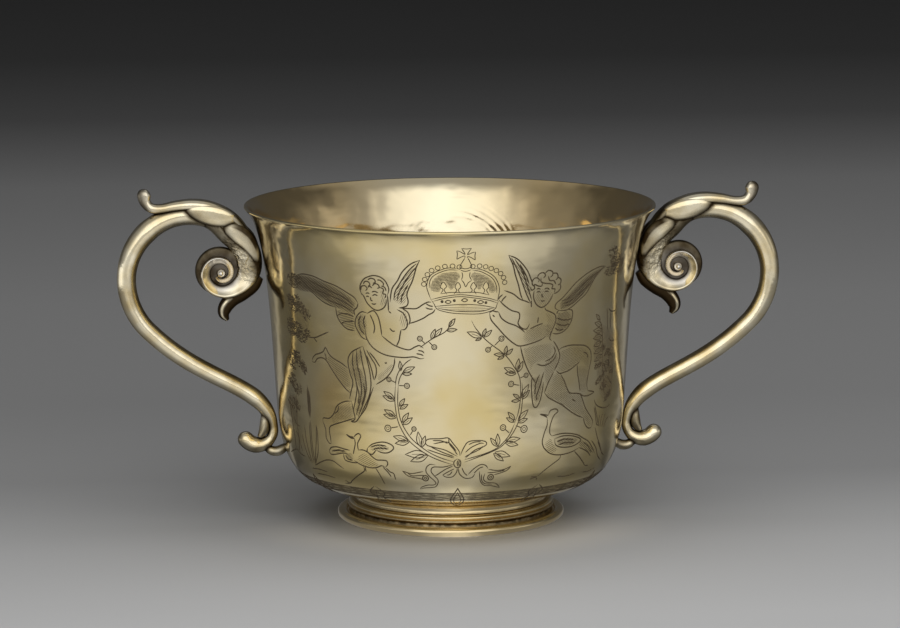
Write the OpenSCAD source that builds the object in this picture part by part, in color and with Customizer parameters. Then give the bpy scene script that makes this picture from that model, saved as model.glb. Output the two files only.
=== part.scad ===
// Two-handled caudle cup: raised bowl, ring foot and two cast scroll handles.
// Millimetres, +Z up, handles along X. The origin is on the table, under the axis of the bowl.

/* [Bowl] */
// Radius of the lip, to its outer edge
mouth_r = 63.2; // [60:0.2:68]
// Height of the lip above the table
rim_z = 97.4; // [91:0.2:107]
// Outer radius where the wall turns into the belly
belly_r = 53.4; // [51.5:0.2:55.5]
// Height where the wall turns into the belly
belly_z = 33; // [31:0.2:35]
// How far the throat draws in under the lip
throat_in = 7.2; // [6.2:0.1:8.2]
// Radius of the flat underside, inside the turn of the belly
base_r = 32; // [31.8:0.1:34]
// Thickness of the raised sheet
wall = 0.9; // [0.7:0.05:1.2]

/* [Foot] */
// Height of the underside of the bowl above the table
foot_h = 9.7; // [9:0.1:11]
// Outer radius of the collet, where the two wires are soldered on
collet_r = 29.8; // [28.6:0.1:30.4]
// Thickness of the collet
collet_wall = 1.2; // [0.9:0.1:1.6]
// Height of the foot rim
rim_wire_h = 4.1; // [3.6:0.1:4.6]
// How far the foot rim stands out from the collet
rim_wire_w = 5.3; // [4.6:0.1:6]
// Height of the reed
reed_h = 2.1; // [1.7:0.1:2.4]
// How far the reed stands out from the collet
reed_w = 1.7; // [1.3:0.1:2]

/* [Handles] */
// How far the handle stands out from the wall of the bowl
reach = 45.4; // [42:0.2:50]
// Thickness of the stem at the grip
stem_d = 5.9; // [5.2:0.1:6.4]
// Radius of the C of the grip, to the middle of the stem
bow_r = 22.4; // [21.4:0.1:23]
// Distance from the lip down to the upper seat on the wall
seat_drop = 20.4; // [18.4:0.1:21.8]
// Height of the lower seat on the wall
heel_z = 29.3; // [28.3:0.1:31]
// Radius of the curl at the heel
curl_r = 4.8; // [4.5:0.1:5.4]
// Radius of the knob that ends the curl
knob_r = 2.5; // [2.1:0.1:2.8]
// Thickness of the snail, from face to face
volute_d = 7; // [6:0.1:8]
// Radius of the drum that carries the turns of the snail
drum_r = 7.5; // [7:0.1:7.8]
// Radius of the button in the middle of the snail
eye_r = 1.85; // [1.5:0.05:1.9]
// How far the petals stand out from the shoulder
petal_rise = 1.1; // [0.7:0.1:1.6]
// Width of the cap leaf
leaf_w = 7; // [6:0.1:8]

/* [Hidden] */

gilt = [0.80, 0.70, 0.46];
gilt_cast = [0.84, 0.74, 0.50];
// Solder clearance between pieces that lie on each other
clear = 0.05;
// Sides of the turned forms
bowl_sides = 180;
foot_sides = 120;
// Sides of the swept forms
stem_sides = 14;
snail_sides = 12;
drum_sides = 28;
eye_sides = 14;
leaf_sides = 10;
sprig_sides = 8;
// The ornament is drawn for a bow of 22.4 and a heel curl of 4.8, and grows with them
shoulder_k = bow_r / 22.4;
heel_k = curl_r / 4.8;

// Points on a cubic with end points a and d and handles b and c
function cubic(a, b, c, d, n) =
    [for (i = [0 : n])
        let (t = i / n, u = 1 - t)
        u * u * u * a + 3 * u * u * t * b + 3 * u * t * t * c + t * t * t * d];

// Points on a smooth curve through all stations, n steps from one to the next
function through(p, n) =
    let (last = len(p) - 1)
    concat([for (k = [0 : last - 1], i = [0 : n - 1])
        let (t = i / n,
             a = p[max(k - 1, 0)], b = p[k], c = p[k + 1], d = p[min(k + 2, last)])
        b + 0.5 * t * (c - a + t * (2 * a - 5 * b + 4 * c - d + t * (3 * (b - c) + d - a)))],
        [p[last]]);

function unit(v) = v / norm(v);
function dir(a) = [cos(a), sin(a)];
function flat(p) = [p[0], p[1]];

// Outline of the bowl from the lip to the flat underside. The lip is a full round of the sheet.
lip_at = [mouth_r - wall / 2, rim_z - wall / 2];
lip_lean = -50;
wall_line = cubic(lip_at + wall / 2 * dir(lip_lean), [mouth_r - throat_in, rim_z - 6.7],
                  [belly_r + 1.9, belly_z + 26.3], [belly_r, belly_z], 28);
belly_line = cubic([belly_r, belly_z], [belly_r - 1.35, belly_z - 14.8],
                   [base_r + 15.7, foot_h + 1.4], [base_r, foot_h], 16);
outer = concat(wall_line, [for (i = [1 : len(belly_line) - 1]) belly_line[i]]);

// The same outline, moved inwards by d along its own normals
function inset(line, d) =
    [for (i = [0 : len(line) - 1])
        let (t = unit(line[min(i + 1, len(line) - 1)] - line[max(i - 1, 0)]))
        line[i] + d * [t[1], -t[0]]];

// Outer radius of the bowl at a height
function wall_r(z) = lookup(z, [for (p = outer) [p[1], p[0]]]);

// Seats of the handle on the wall
upper = [wall_r(rim_z - seat_drop), rim_z - seat_drop];
lower = [wall_r(heel_z), heel_z];

// Middle line of the stem: C of the grip, S down to the heel, curl
bow_at = upper + [reach - stem_d / 2 - bow_r, -2];
function bow(a) = bow_at + (bow_r - 2.2 * pow(max(a, 0) / 80, 2)) * dir(a);
bow_from = 98;
bow_to = -45;
bow_end = bow(bow_to);
curl_at = lower + [curl_r + 1.8, -1.5];
curl_from = 171;
curl_to = 322;
heel = curl_at + curl_r * dir(curl_from);
bow_line = [for (i = [0 : 23]) bow(bow_from + (bow_to - bow_from) * i / 23)];
ess_line = cubic(bow_end, bow_end + 24.9 * shoulder_k * dir(bow_to - 90),
                 heel + shoulder_k * [2.63, 14.34], heel, 14);
curl_line = [for (i = [1 : 10]) curl_at + curl_r * dir(curl_from + (curl_to - curl_from) * i / 10)];
knob_line = [for (a = [25, 50, 75]) curl_at + curl_r * dir(curl_to) + knob_r * sin(a) * dir(curl_to + 90)];
stem_line = concat(bow_line, [for (i = [1 : 14]) ess_line[i]], curl_line, knob_line);
stem_rings = len(stem_line) - 3;

// Half thickness of the stem at ring i: full at the grip, drawn in at the heel, swelling to the knob
function stem_a(i) =
    i >= stem_rings
        ? knob_r * cos([25, 50, 75][i - stem_rings])
        : lookup(i, [[0, 0.51 * stem_d], [6, 0.53 * stem_d], [9, 0.57 * stem_d], [15, 0.5 * stem_d],
                     [23, 0.475 * stem_d], [33, 0.455 * stem_d], [35, 0.38 * stem_d], [37, 0.25 * stem_d],
                     [40, 0.27 * stem_d], [42, 0.83 * knob_r], [44, knob_r], [47, knob_r]]);
stem_path = [for (i = [0 : len(stem_line) - 1]) [stem_line[i][0], stem_line[i][1], stem_a(i), stem_a(i)]];

// Middle line of the shoulder and the snail, as [angle, radius, half width, share of the full depth]
eye_at = upper + shoulder_k * [13.6, 0.1];
start = bow(bow_from) - eye_at;
start_angle = atan2(start[1], start[0]);
snail = through([[start_angle, norm(start) / shoulder_k, 0.51 * stem_d / shoulder_k,
                  0.51 * stem_d / volute_d * 2],
                 [100, 13.6, 4.4, 0.9], [123, 11.3, 4.2, 0.92], [154, 9.5, 4.1, 0.94],
                 [182, 8.3, 3.75, 0.94], [225, 6.6, 2.8, 0.92], [270, 5.75, 2.1, 0.9],
                 [330, 4.95, 1.85, 0.88], [400, 4.3, 1.55, 0.88], [470, 3.6, 1.25, 0.9],
                 [540, 3.0, 1.05, 0.94], [610, 2.4, 0.85, 0.98], [680, 1.7, 0.6, 1]], 4);
snail_path = [for (s = snail)
    let (p = eye_at + shoulder_k * s[1] * dir(s[0]))
    [p[0], p[1], shoulder_k * s[2], s[3] * volute_d / 2]];

// Stations drawn from a seat on the wall as [out, up, half thickness, half width], k times as large
function seated(stations, seat, k, n) =
    through([for (s = stations) [seat[0] + k * s[0], seat[1] + k * s[1], k * s[2], k * s[3]]], n);

leaf_half = leaf_w / 2 / shoulder_k;
cap_path = seated([[3.9, 7.4, 0.6, 0.55 * leaf_half], [5.1, 11.2, 1.05, 0.85 * leaf_half],
                   [8.0, 15.6, 1.25, leaf_half], [12.0, 18.6, 1.5, leaf_half],
                   [17.0, 20.5, 1.7, leaf_half], [22.0, 21.1, 1.75, 0.97 * leaf_half],
                   [27.0, 20.7, 1.65, 0.86 * leaf_half], [31.4, 19.9, 1.5, 0.7 * leaf_half],
                   [34.6, 20.2, 1.5, 0.57 * leaf_half], [36.3, 21.9, 1.7, 0.52 * leaf_half],
                   [36.7, 24.0, 2.1, 0.52 * leaf_half], [36.4, 25.9, 1.3, 0.4 * leaf_half]],
                  upper, shoulder_k, 3);
petal_half = (petal_rise + 1) / shoulder_k;
long_path = seated([[8.4, 15.3, 0.4, 0.3 * petal_half], [10.6, 16.3, 1.9, 0.8 * petal_half],
                    [14.6, 17.1, 2.7, petal_half], [18.8, 18.1, 2.5, 0.9 * petal_half],
                    [22.2, 19.0, 1.7, 0.7 * petal_half], [24.2, 19.3, 0.4, 0.3 * petal_half]],
                   upper, shoulder_k, 3);
short_path = seated([[2.6, 2.6, 0.4, 0.3 * petal_half], [3.3, 6.2, 1.7, 0.8 * petal_half],
                     [5.5, 10.0, 2.7, petal_half], [8.6, 12.6, 2.8, 0.95 * petal_half],
                     [11.4, 13.9, 1.9, 0.7 * petal_half], [13.2, 14.2, 0.4, 0.3 * petal_half]],
                    upper, shoulder_k, 3);
drop_path = seated([[1.6, -1.6, 1.2, 1.7], [3.6, -4.1, 2.0, 2.3], [6.9, -6.4, 2.3, 2.4],
                    [10.2, -8.3, 2.35, 2.2], [12.3, -10.7, 2.2, 2.0], [12.7, -12.9, 1.8, 1.7],
                    [11.7, -14.8, 0.6, 1]],
                   upper, shoulder_k, 3);
sprig_path = seated([[5.2, 4.6, 0.4, 0.7], [4.7, 1.6, 0.8, 1.1], [5.0, -1.2, 0.8, 1.1],
                     [6.2, -3.9, 0.5, 0.8]],
                    lower, heel_k, 4);
spur_path = seated([[4.4, -6.6, 1.1, 1.2], [2.5, -8.1, 1.3, 1.5], [0.5, -8.4, 1.25, 1.5],
                    [-1.2, -7.4, 1, 1.3], [-2.4, -6.2, 0.7, 0.9]],
                   lower, heel_k, 4);

// Solid along a path of [x, z, half thickness, half width], all in the plane of the handle.
// y moves the middle line out of that plane, grow makes every section that much larger, and an
// edge under 1 gives the sections fuller corners.
module sweep(path, sides, y = 0, grow = 0, edge = 1) {
    last = len(path) - 1;
    points = [for (i = [0 : last], k = [0 : sides - 1])
        let (t = unit(flat(path[min(i + 1, last)]) - flat(path[max(i - 1, 0)])),
             a = 360 * k / sides,
             c = (path[i][2] + grow) * sign(cos(a)) * pow(abs(cos(a)), edge),
             s = (path[i][3] + grow) * sign(sin(a)) * pow(abs(sin(a)), edge))
        [path[i][0] - c * t[1], y + s, path[i][1] + c * t[0]]];
    skin = [for (i = [0 : last - 1], k = [0 : sides - 1])
        let (m = (k + 1) % sides, a = i * sides, b = a + sides)
        each [[a + k, b + m, b + k], [a + k, a + m, b + m]]];
    caps = [[for (k = [sides - 1 : -1 : 0]) k], [for (k = [0 : sides - 1]) last * sides + k]];
    polyhedron(points, concat(skin, caps));
}

// One mesh of what is left of the first child when all others are taken away
module fitted() {
    resize([0, 0, 0])
        difference() {
            children(0);
            children([1 : $children - 1]);
        }
}

// The space that the bowl takes up, with the clearance
module bowl_space() {
    rotate_extrude($fn = bowl_sides)
        polygon(concat([[0, rim_z]], inset(outer, -clear), [[0, foot_h]]));
}

module bowl() {
    inner = inset(outer, wall);
    floor_z = inner[len(inner) - 1][1];
    lip = [for (a = [25 : 26 : 155]) lip_at + wall / 2 * dir(lip_lean + a)];
    color(gilt)
        rotate_extrude($fn = bowl_sides)
            polygon(concat([[0, foot_h]], [for (i = [len(outer) - 1 : -1 : 0]) outer[i]], lip,
                           inner, [[0, floor_z]]));
}

module foot_collet() {
    // Straight skirt for the wires, then a hollow neck that opens to the underside of the bowl
    neck_z = rim_wire_h + reed_h;
    neck = cubic([collet_r, neck_z], [collet_r - 0.5, neck_z + 1], [collet_r - 0.2, foot_h - 1.1],
                 [collet_r + 1.4, foot_h], 8);
    color(gilt)
        rotate_extrude($fn = foot_sides)
            polygon(concat([[collet_r - collet_wall, 0.3], [collet_r, 0.3]], neck,
                           [[collet_r + 0.2 - collet_wall, foot_h]],
                           [for (i = [len(neck) - 3 : -1 : 1]) neck[i] - [collet_wall, 0]]));
}

module foot_reed() {
    r = reed_h / 2;
    color(gilt)
        rotate_extrude($fn = foot_sides)
            translate([collet_r, rim_wire_h + r])
                polygon(concat([[0, -r]], [for (a = [-75 : 15 : 75]) [reed_w * cos(a), r * sin(a)]], [[0, r]]));
}

module foot_rim() {
    ovolo_h = 0.74 * rim_wire_h;
    fillet_w = 0.4 * rim_wire_w;
    color(gilt)
        rotate_extrude($fn = foot_sides)
            translate([collet_r, 0])
                polygon(concat([[0, 0.3], [0.3 * rim_wire_w, 0]],
                               cubic([0.88 * rim_wire_w, 0], [1.04 * rim_wire_w, 0.3 * ovolo_h],
                                     [1.06 * rim_wire_w, 0.9 * ovolo_h], [0.5 * rim_wire_w, ovolo_h], 8),
                               [[fillet_w, ovolo_h + 0.15], [fillet_w, rim_wire_h], [0, rim_wire_h]]));
}

module stem() {
    color(gilt_cast)
        fitted() {
            sweep(stem_path, stem_sides);
            bowl_space();
        }
}

// Shoulder and snail. The turns of the snail stand on a drum with rounded edges, and the drum's
// middle lies a little above and beyond the button.
module volute_solid(grow = 0) {
    drum_at = eye_at + drum_r * [0.05, 0.06];
    drum_half = 0.34 * volute_d + grow;
    drum_edge = 0.12 * drum_r;
    sweep(snail_path, snail_sides, 0, grow);
    translate([eye_at[0], 0, eye_at[1]])
        scale([eye_r, volute_d * 0.6, eye_r])
            sphere(1, $fn = eye_sides);
    translate([drum_at[0], 0, drum_at[1]])
        rotate([90, 0, 0])
            rotate_extrude($fn = drum_sides)
                polygon([[0, -drum_half], [drum_r + grow - drum_edge, -drum_half],
                         [drum_r + grow, drum_edge - drum_half], [drum_r + grow, drum_half - drum_edge],
                         [drum_r + grow - drum_edge, drum_half], [0, drum_half]]);
}

module volute() {
    color(gilt_cast)
        fitted() {
            volute_solid();
            bowl_space();
        }
}

module cap_leaf() {
    color(gilt_cast)
        fitted() {
            sweep(cap_path, leaf_sides);
            sweep(stem_path, stem_sides, 0, clear);
            volute_solid(clear);
            bowl_space();
        }
}

// Petals lie on one face of the shoulder: face is -1 in front and 1 behind. Their edges stand
// up steeply from the shoulder.
petal_edge = 0.7;

module long_petal_blank(face, grow = 0) {
    sweep(long_path, leaf_sides, face * (0.51 * stem_d - 1), grow, petal_edge);
}

module long_petal(face) {
    color(gilt_cast)
        fitted() {
            long_petal_blank(face);
            sweep(stem_path, stem_sides, 0, clear);
            volute_solid(clear);
            sweep(cap_path, leaf_sides, 0, clear);
        }
}

module short_petal(face) {
    color(gilt_cast)
        fitted() {
            sweep(short_path, leaf_sides, face * (0.46 * volute_d - 1), 0, petal_edge);
            volute_solid(clear);
            sweep(stem_path, stem_sides, 0, clear);
            sweep(cap_path, leaf_sides, 0, clear);
            long_petal_blank(face, clear);
            bowl_space();
        }
}

module drop_leaf() {
    color(gilt_cast)
        fitted() {
            sweep(drop_path, sprig_sides);
            volute_solid(clear);
            bowl_space();
        }
}

module heel_leaf() {
    color(gilt_cast)
        fitted() {
            sweep(sprig_path, sprig_sides);
            sweep(stem_path, stem_sides, 0, clear);
        }
}

module heel_spur() {
    color(gilt_cast)
        fitted() {
            sweep(spur_path, sprig_sides);
            sweep(stem_path, stem_sides, 0, clear);
            bowl_space();
        }
}

module on_left() {
    rotate([0, 0, 180])
        children();
}

bowl();
foot_collet();
foot_reed();
foot_rim();
on_left() stem();  // left_stem
on_left() volute();  // left_volute
on_left() cap_leaf();  // left_cap_leaf
on_left() drop_leaf();  // left_drop_leaf
on_left() long_petal(1);  // left_front_long_petal
on_left() long_petal(-1);  // left_back_long_petal
on_left() short_petal(1);  // left_front_short_petal
on_left() short_petal(-1);  // left_back_short_petal
on_left() heel_leaf();  // left_heel_leaf
on_left() heel_spur();  // left_heel_spur
stem();  // right_stem
volute();  // right_volute
cap_leaf();  // right_cap_leaf
drop_leaf();  // right_drop_leaf
long_petal(-1);  // right_front_long_petal
long_petal(1);  // right_back_long_petal
short_petal(-1);  // right_front_short_petal
short_petal(1);  // right_back_short_petal
heel_leaf();  // right_heel_leaf
heel_spur();  // right_heel_spur
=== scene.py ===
# %% [markdown]
# # A silver-gilt caudle cup
# A two-handled cup, raised by hand from one sheet of silver, engraved, gilded, and fitted with
# two cast scroll handles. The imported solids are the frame: they fix every size and place. This
# script lays a finely meshed, polished surface over each solid, because a mirror-like metal
# shows every flat facet, and then adds the engraving, which is too fine for the solids.

# %% Load the frame and keep its box
import math
import bmesh
import bpy
import numpy as np
from mathutils import Matrix, Vector
from mathutils.bvhtree import BVHTree


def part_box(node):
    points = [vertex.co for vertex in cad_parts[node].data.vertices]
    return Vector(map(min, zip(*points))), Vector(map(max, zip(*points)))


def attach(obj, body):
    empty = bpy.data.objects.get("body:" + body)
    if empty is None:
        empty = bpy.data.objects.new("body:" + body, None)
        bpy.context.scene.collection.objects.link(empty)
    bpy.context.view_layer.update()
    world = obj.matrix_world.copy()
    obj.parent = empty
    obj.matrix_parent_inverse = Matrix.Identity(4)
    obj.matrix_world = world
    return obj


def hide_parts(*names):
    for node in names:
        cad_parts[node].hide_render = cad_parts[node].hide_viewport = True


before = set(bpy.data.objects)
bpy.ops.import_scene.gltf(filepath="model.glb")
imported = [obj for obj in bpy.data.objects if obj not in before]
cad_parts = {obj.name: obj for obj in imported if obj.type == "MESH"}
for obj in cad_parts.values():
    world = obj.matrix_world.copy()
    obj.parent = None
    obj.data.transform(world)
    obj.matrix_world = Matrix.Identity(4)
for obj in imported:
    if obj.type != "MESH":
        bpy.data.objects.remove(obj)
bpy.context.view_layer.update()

# %% [markdown]
# ## Small helpers
# The cup is drawn in millimetres, as a silversmith would, and turned to metres when a mesh is
# made. Colours are written as sRGB hex, the way they look on a screen, and turned to linear,
# the way a renderer adds light.

# %% Millimetres, colours and nodes
MM = 0.001


def linear(hex_colour):
    """An sRGB hex colour as linear red, green, blue and alpha."""
    parts = [int(hex_colour[i:i + 2], 16) / 255 for i in (1, 3, 5)]
    light = [p / 12.92 if p <= 0.04045 else ((p + 0.055) / 1.055) ** 2.4 for p in parts]
    return (*light, 1.0)


def link(tree, source, target):
    """Links a source to an input; a node as source stands for its first live output."""
    if isinstance(source, bpy.types.Node):
        source = next(output for output in source.outputs if output.enabled)
    tree.links.new(source, target)


def add(tree, kind, settings=None, links=None):
    """Adds one node: settings are its properties or input values, links are input: source. The
    names of shader nodes are given without the prefix that they all share."""
    made = tree.nodes.new(kind if kind.startswith(("Geometry", "NodeGroup")) else "ShaderNode" + kind)
    for name, value in (settings or {}).items():
        if isinstance(name, str) and hasattr(made, name):
            setattr(made, name, value)
        else:
            made.inputs[name].default_value = value
    for name, source in (links or {}).items():
        link(tree, source, made.inputs[name])
    return made


# %% [markdown]
# Every finish here is built the same way: a base colour, thin layers of other colours over it,
# each by its own share, and bumps laid over one another. So these steps are functions. In a
# colour Mix node, input 0 is the share, and inputs 6 and 7 are the two colours.

# %% What all finishes share
def new_material(name):
    """A material with its node tree, its shader and the Object coordinates of its piece."""
    material = bpy.data.materials.new(name)
    material.use_nodes = True
    tree = material.node_tree
    place = add(tree, "TexCoord").outputs["Object"]
    return material, tree, tree.nodes["Principled BSDF"], place


def stored(tree, *names):
    """Numbers stored at the points of a piece, to be read by its material."""
    return [add(tree, "Attribute", {"attribute_name": name}).outputs["Fac"] for name in names]


def tinted(tree, base, *layers):
    """Lays colours over a base, a hex colour or a node, each by its own share."""
    for share, hue in layers:
        settings, links = {"data_type": "RGBA", 7: linear(hue)}, {0: share}
        if isinstance(base, str):
            settings[6] = linear(base)
        else:
            links[6] = base
        base = add(tree, "Mix", settings, links)
    return base


def bumped(tree, *layers):
    """Lays bumps over one another: each is a height, a strength and a depth in millimetres."""
    below = {}
    for height, strength, depth in layers:
        relief = add(tree, "Bump", {"Strength": strength, "Distance": depth * MM},
                     {"Height": height, **below})
        below = {"Normal": relief}
    return relief


# %% [markdown]
# ## Gilded sheet
# The bowl is fire-gilded silver sheet, burnished by hand. The gold is thin and rubbed, so the
# outside is a pale champagne colour, warmer where the polishing cloth did not reach, and the
# inside keeps a stronger gold. Brown polish residue lies in the corners and ends raggedly, with
# painted shade in it where the bowl meets the foot and in the groove of the foot.

# %% Fire-gilded silver sheet: colour
OUTSIDE_PALE = "#F2E4BE"
OUTSIDE_WARM = "#EAD498"
OUTSIDE_AMBER = "#D6B26C"
INSIDE_GOLD = "#F4E8C8"
# Brown for residue and for painted shade
PATINA_AND_SHADE_BROWN = "#3B2F1E"
RUB_SIZE = 26
BLOT_SIZE = 1.6
gilt_sheet, tree, shader, place = new_material("fire_gilded_silver_sheet")
shader.inputs["Metallic"].default_value = 1.0
inside, amber, shade_and_residue, pressed = stored(tree, "inside", "amber", "shade_and_residue", "pressed")
# Rubbing: broad clouds where the gold is thinner
rub = add(tree, "TexNoise", {"Scale": 1 / (RUB_SIZE * MM), "Detail": 3}, {"Vector": place})
rub_step = add(tree, "MapRange", {"From Min": 0.38, "From Max": 0.66}, {"Value": rub})
# Residue and painted shade: blots that break up its edge
blots = add(tree, "TexNoise", {"Scale": 1 / (BLOT_SIZE * MM), "Detail": 2}, {"Vector": place})
blot_step = add(tree, "MapRange", {"From Min": 0.3, "From Max": 0.6, "To Min": 0.45}, {"Value": blots})
shade_and_residue_share = add(tree, "Math", {"operation": "MULTIPLY"}, {0: shade_and_residue, 1: blot_step})
aged = tinted(tree, OUTSIDE_PALE, (rub_step, OUTSIDE_WARM), (inside, INSIDE_GOLD),
              (amber, OUTSIDE_AMBER), (shade_and_residue_share, PATINA_AND_SHADE_BROWN))
link(tree, aged, shader.inputs["Base Color"])

# %% Fire-gilded silver sheet: polish
SMEAR_SIZE = 9
ROUGH_BEST = 0.07
ROUGH_SMEARED = 0.2
ROUGH_RESIDUE = 0.4
# Fine handling marks blur the mirror a little, unevenly
smear = add(tree, "TexNoise", {"Scale": 1 / (SMEAR_SIZE * MM), "Detail": 4}, {"Vector": place})
polish = add(tree, "MapRange", {"To Min": ROUGH_BEST, "To Max": ROUGH_SMEARED}, {"Value": smear})
dull = add(tree, "Math", {"operation": "MULTIPLY_ADD", 1: ROUGH_RESIDUE}, {0: shade_and_residue, 2: polish})
link(tree, dull, shader.inputs["Roughness"])

# %% [markdown]
# Hand raising leaves shallow waves that make every reflection tremble, and planishing finer
# ripples, flattened along the wall. The inside still shows the round marks of the hammer. The
# wreath on the back is pressed through the thin wall as a few bowed lines.

# %% Fire-gilded silver sheet: surface
RIPPLE_SIZE = 9
RIPPLE_FLAT = 2.2
WAVE_SIZE = 17
HAMMER_SIZE = 6.5
PRESSED_AT = (7, 72)
PRESSED_STEP = 1.8
RING_SCALE = 0.314  # the wave node's own spacing of rings, a twentieth of a full turn
ripple_place = add(tree, "Mapping", {"Scale": (1, 1, RIPPLE_FLAT)}, {"Vector": place})
ripple = add(tree, "TexNoise", {"Scale": 1 / (RIPPLE_SIZE * MM), "Detail": 1}, {"Vector": ripple_place})
wave = add(tree, "TexNoise", {"Scale": 1 / (WAVE_SIZE * MM), "Detail": 1.5}, {"Vector": place})
hammer = add(tree, "TexVoronoi",
             {"feature": "SMOOTH_F1", "Scale": 1 / (HAMMER_SIZE * MM), "Smoothness": 0.6},
             {"Vector": place})
hammered = add(tree, "Math", {"operation": "MULTIPLY"}, {0: hammer, 1: inside})
flat_place = add(tree, "Mapping",
                 {"Scale": (1, 0, 1), "Location": (-PRESSED_AT[0] * MM, 0, -PRESSED_AT[1] * MM)},
                 {"Vector": place})
bows = add(tree, "TexWave",
           {"wave_type": "RINGS", "rings_direction": "SPHERICAL",
            "Scale": RING_SCALE / (PRESSED_STEP * MM), "Distortion": 2.5, "Detail": 1,
            "Detail Scale": 0.5}, {"Vector": flat_place})
bowed = add(tree, "Math", {"operation": "MULTIPLY"}, {0: bows.outputs["Fac"], 1: pressed})
relief = bumped(tree, (ripple, 0.65, 0.24), (wave, 0.4, 1.2), (hammered, 0.32, 0.9), (bowed, 0.18, 0.22))
link(tree, relief, shader.inputs["Normal"])
print("material", gilt_sheet.name)

# %% [markdown]
# ## Cast silver-gilt
# The handles are cast in sand, filed, and gilded. Castings are softer in outline than sheet,
# they keep dark polish residue in every corner, and the high places are rubbed bright; on the eye
# of the snail that brightness is a painted highlight. Shade is painted in with the residue, in
# corners, along edges and under curls. A number stored at each point, the shade and residue,
# says how dark it is painted there.

# %% Cast and gilded silver: colour
CAST_BRIGHT = "#FBF0D2"
CAST_WARM = "#E9D4A4"
SILVER_WEAR_AND_HIGHLIGHT = "#EAE5DC"
CAST_RUB_SIZE = 7
gilt_cast, tree, shader, place = new_material("cast_gilded_silver")
shader.inputs["Metallic"].default_value = 1.0
shade_and_residue, wear_and_highlight_share, pitted = stored(tree, "shade_and_residue", "wear_and_highlight", "pits")
rub = add(tree, "TexNoise", {"Scale": 1 / (CAST_RUB_SIZE * MM), "Detail": 4}, {"Vector": place})
rub_step = add(tree, "MapRange", {"From Min": 0.35, "From Max": 0.7}, {"Value": rub})
# The residue and painted shade end raggedly, so noise shifts where they start
ragged = add(tree, "Math", {"operation": "MULTIPLY_ADD", 1: 0.5, 2: -0.25}, {0: rub})
shifted = add(tree, "Math", {"operation": "ADD", "use_clamp": True}, {0: shade_and_residue, 1: ragged})
shade_and_residue_share = add(tree, "MapRange", {"From Min": 0.1, "From Max": 0.9}, {"Value": shifted})
# Thumbs and cloths wear the gold through to the silver on the highest places; near the eye of
# the snail the same pale silver is a painted highlight
aged = tinted(tree, CAST_BRIGHT, (rub_step, CAST_WARM), (wear_and_highlight_share, SILVER_WEAR_AND_HIGHLIGHT),
              (shade_and_residue_share, PATINA_AND_SHADE_BROWN))
link(tree, aged, shader.inputs["Base Color"])

# %% Cast and gilded silver: surface
CAST_GRAIN = 1.3
CAST_ROUGH = 0.12
CAST_ROUGH_RESIDUE = 0.5
rough = add(tree, "MapRange", {"To Min": CAST_ROUGH, "To Max": CAST_ROUGH_RESIDUE}, {"Value": shade_and_residue_share})
link(tree, rough, shader.inputs["Roughness"])
grain = add(tree, "TexNoise", {"Scale": 1 / (CAST_GRAIN * MM), "Detail": 3}, {"Vector": place})
# Pits: on the neck of the volute the sand left small hollows
hollows = add(tree, "MapRange", {"From Min": 0.4, "From Max": 0.62}, {"Value": grain})
pits = add(tree, "Math", {"operation": "MULTIPLY"}, {0: hollows, 1: pitted})
link(tree, bumped(tree, (grain, 0.12, 0.25), (pits, 0.8, 0.3)), shader.inputs["Normal"])
print("material", gilt_cast.name)

# %% [markdown]
# ## The bowl
# A beaker-shaped bowl with a flaring mouth and a soft rounded belly. It is a turned form, so one
# outline spun about the axis makes it. The outline is two curves that meet at the belly, and the
# inner wall is the same outline moved in by the thickness of the sheet.

# %% Bowl outline
bowl_low, bowl_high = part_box("bowl")
MOUTH_R = bowl_high[0] / MM
RIM_Z = bowl_high[2] / MM
FLOOR_Z = bowl_low[2] / MM
BELLY_R = 53.4
BELLY_Z = 33
BASE_R = 32
WALL = 0.9
LIP_LEAN = -50
LIP_PULL = (-7.2, -6.7)
BELLY_PULL = (1.9, 26.3)
UNDER_PULLS = ((52.05, 18.2), (47.7, 11.1))


def bearing(degrees):
    """A unit arrow in an upright plane: 0 points out, 90 points up."""
    return np.array([math.cos(math.radians(degrees)), math.sin(math.radians(degrees))])


def cubic(a, b, c, d, steps):
    """Points on a cubic curve from a to d with handles b and c."""
    t = np.linspace(0, 1, steps + 1)[:, None]
    a, b, c, d = (np.asarray(p, dtype=float) for p in (a, b, c, d))
    return a * (1 - t) ** 3 + 3 * b * t * (1 - t) ** 2 + 3 * c * t ** 2 * (1 - t) + d * t ** 3


def left_normals(path):
    """Unit normals of a flat path, to the left of its direction."""
    step = np.gradient(path, axis=0)
    step /= np.linalg.norm(step, axis=1)[:, None]
    return np.stack([-step[:, 1], step[:, 0]], axis=1)


lip_at = np.array([MOUTH_R, RIM_Z]) - WALL / 2
wall_curve = cubic(lip_at + WALL / 2 * bearing(LIP_LEAN), (MOUTH_R + LIP_PULL[0], RIM_Z + LIP_PULL[1]),
                   (BELLY_R + BELLY_PULL[0], BELLY_Z + BELLY_PULL[1]), (BELLY_R, BELLY_Z), 64)
belly_curve = cubic((BELLY_R, BELLY_Z), *UNDER_PULLS, (BASE_R, FLOOR_Z), 44)
outline = np.vstack([wall_curve, belly_curve[1:]])
outward = left_normals(outline)


def wall_r(z):
    """Outer radius of the bowl at a height, or at many."""
    return np.interp(z, outline[::-1, 1], outline[::-1, 0])


print("mouth", MOUTH_R, "rim", RIM_Z, "outline points", len(outline))

# %% [markdown]
# Spinning an outline stands in for the raising hammer and the lathe: every point of it becomes a
# ring. The rings are fine, because a mirror finish would show each facet.

# %% Spin an outline
TURN_STEPS = 288


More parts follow.
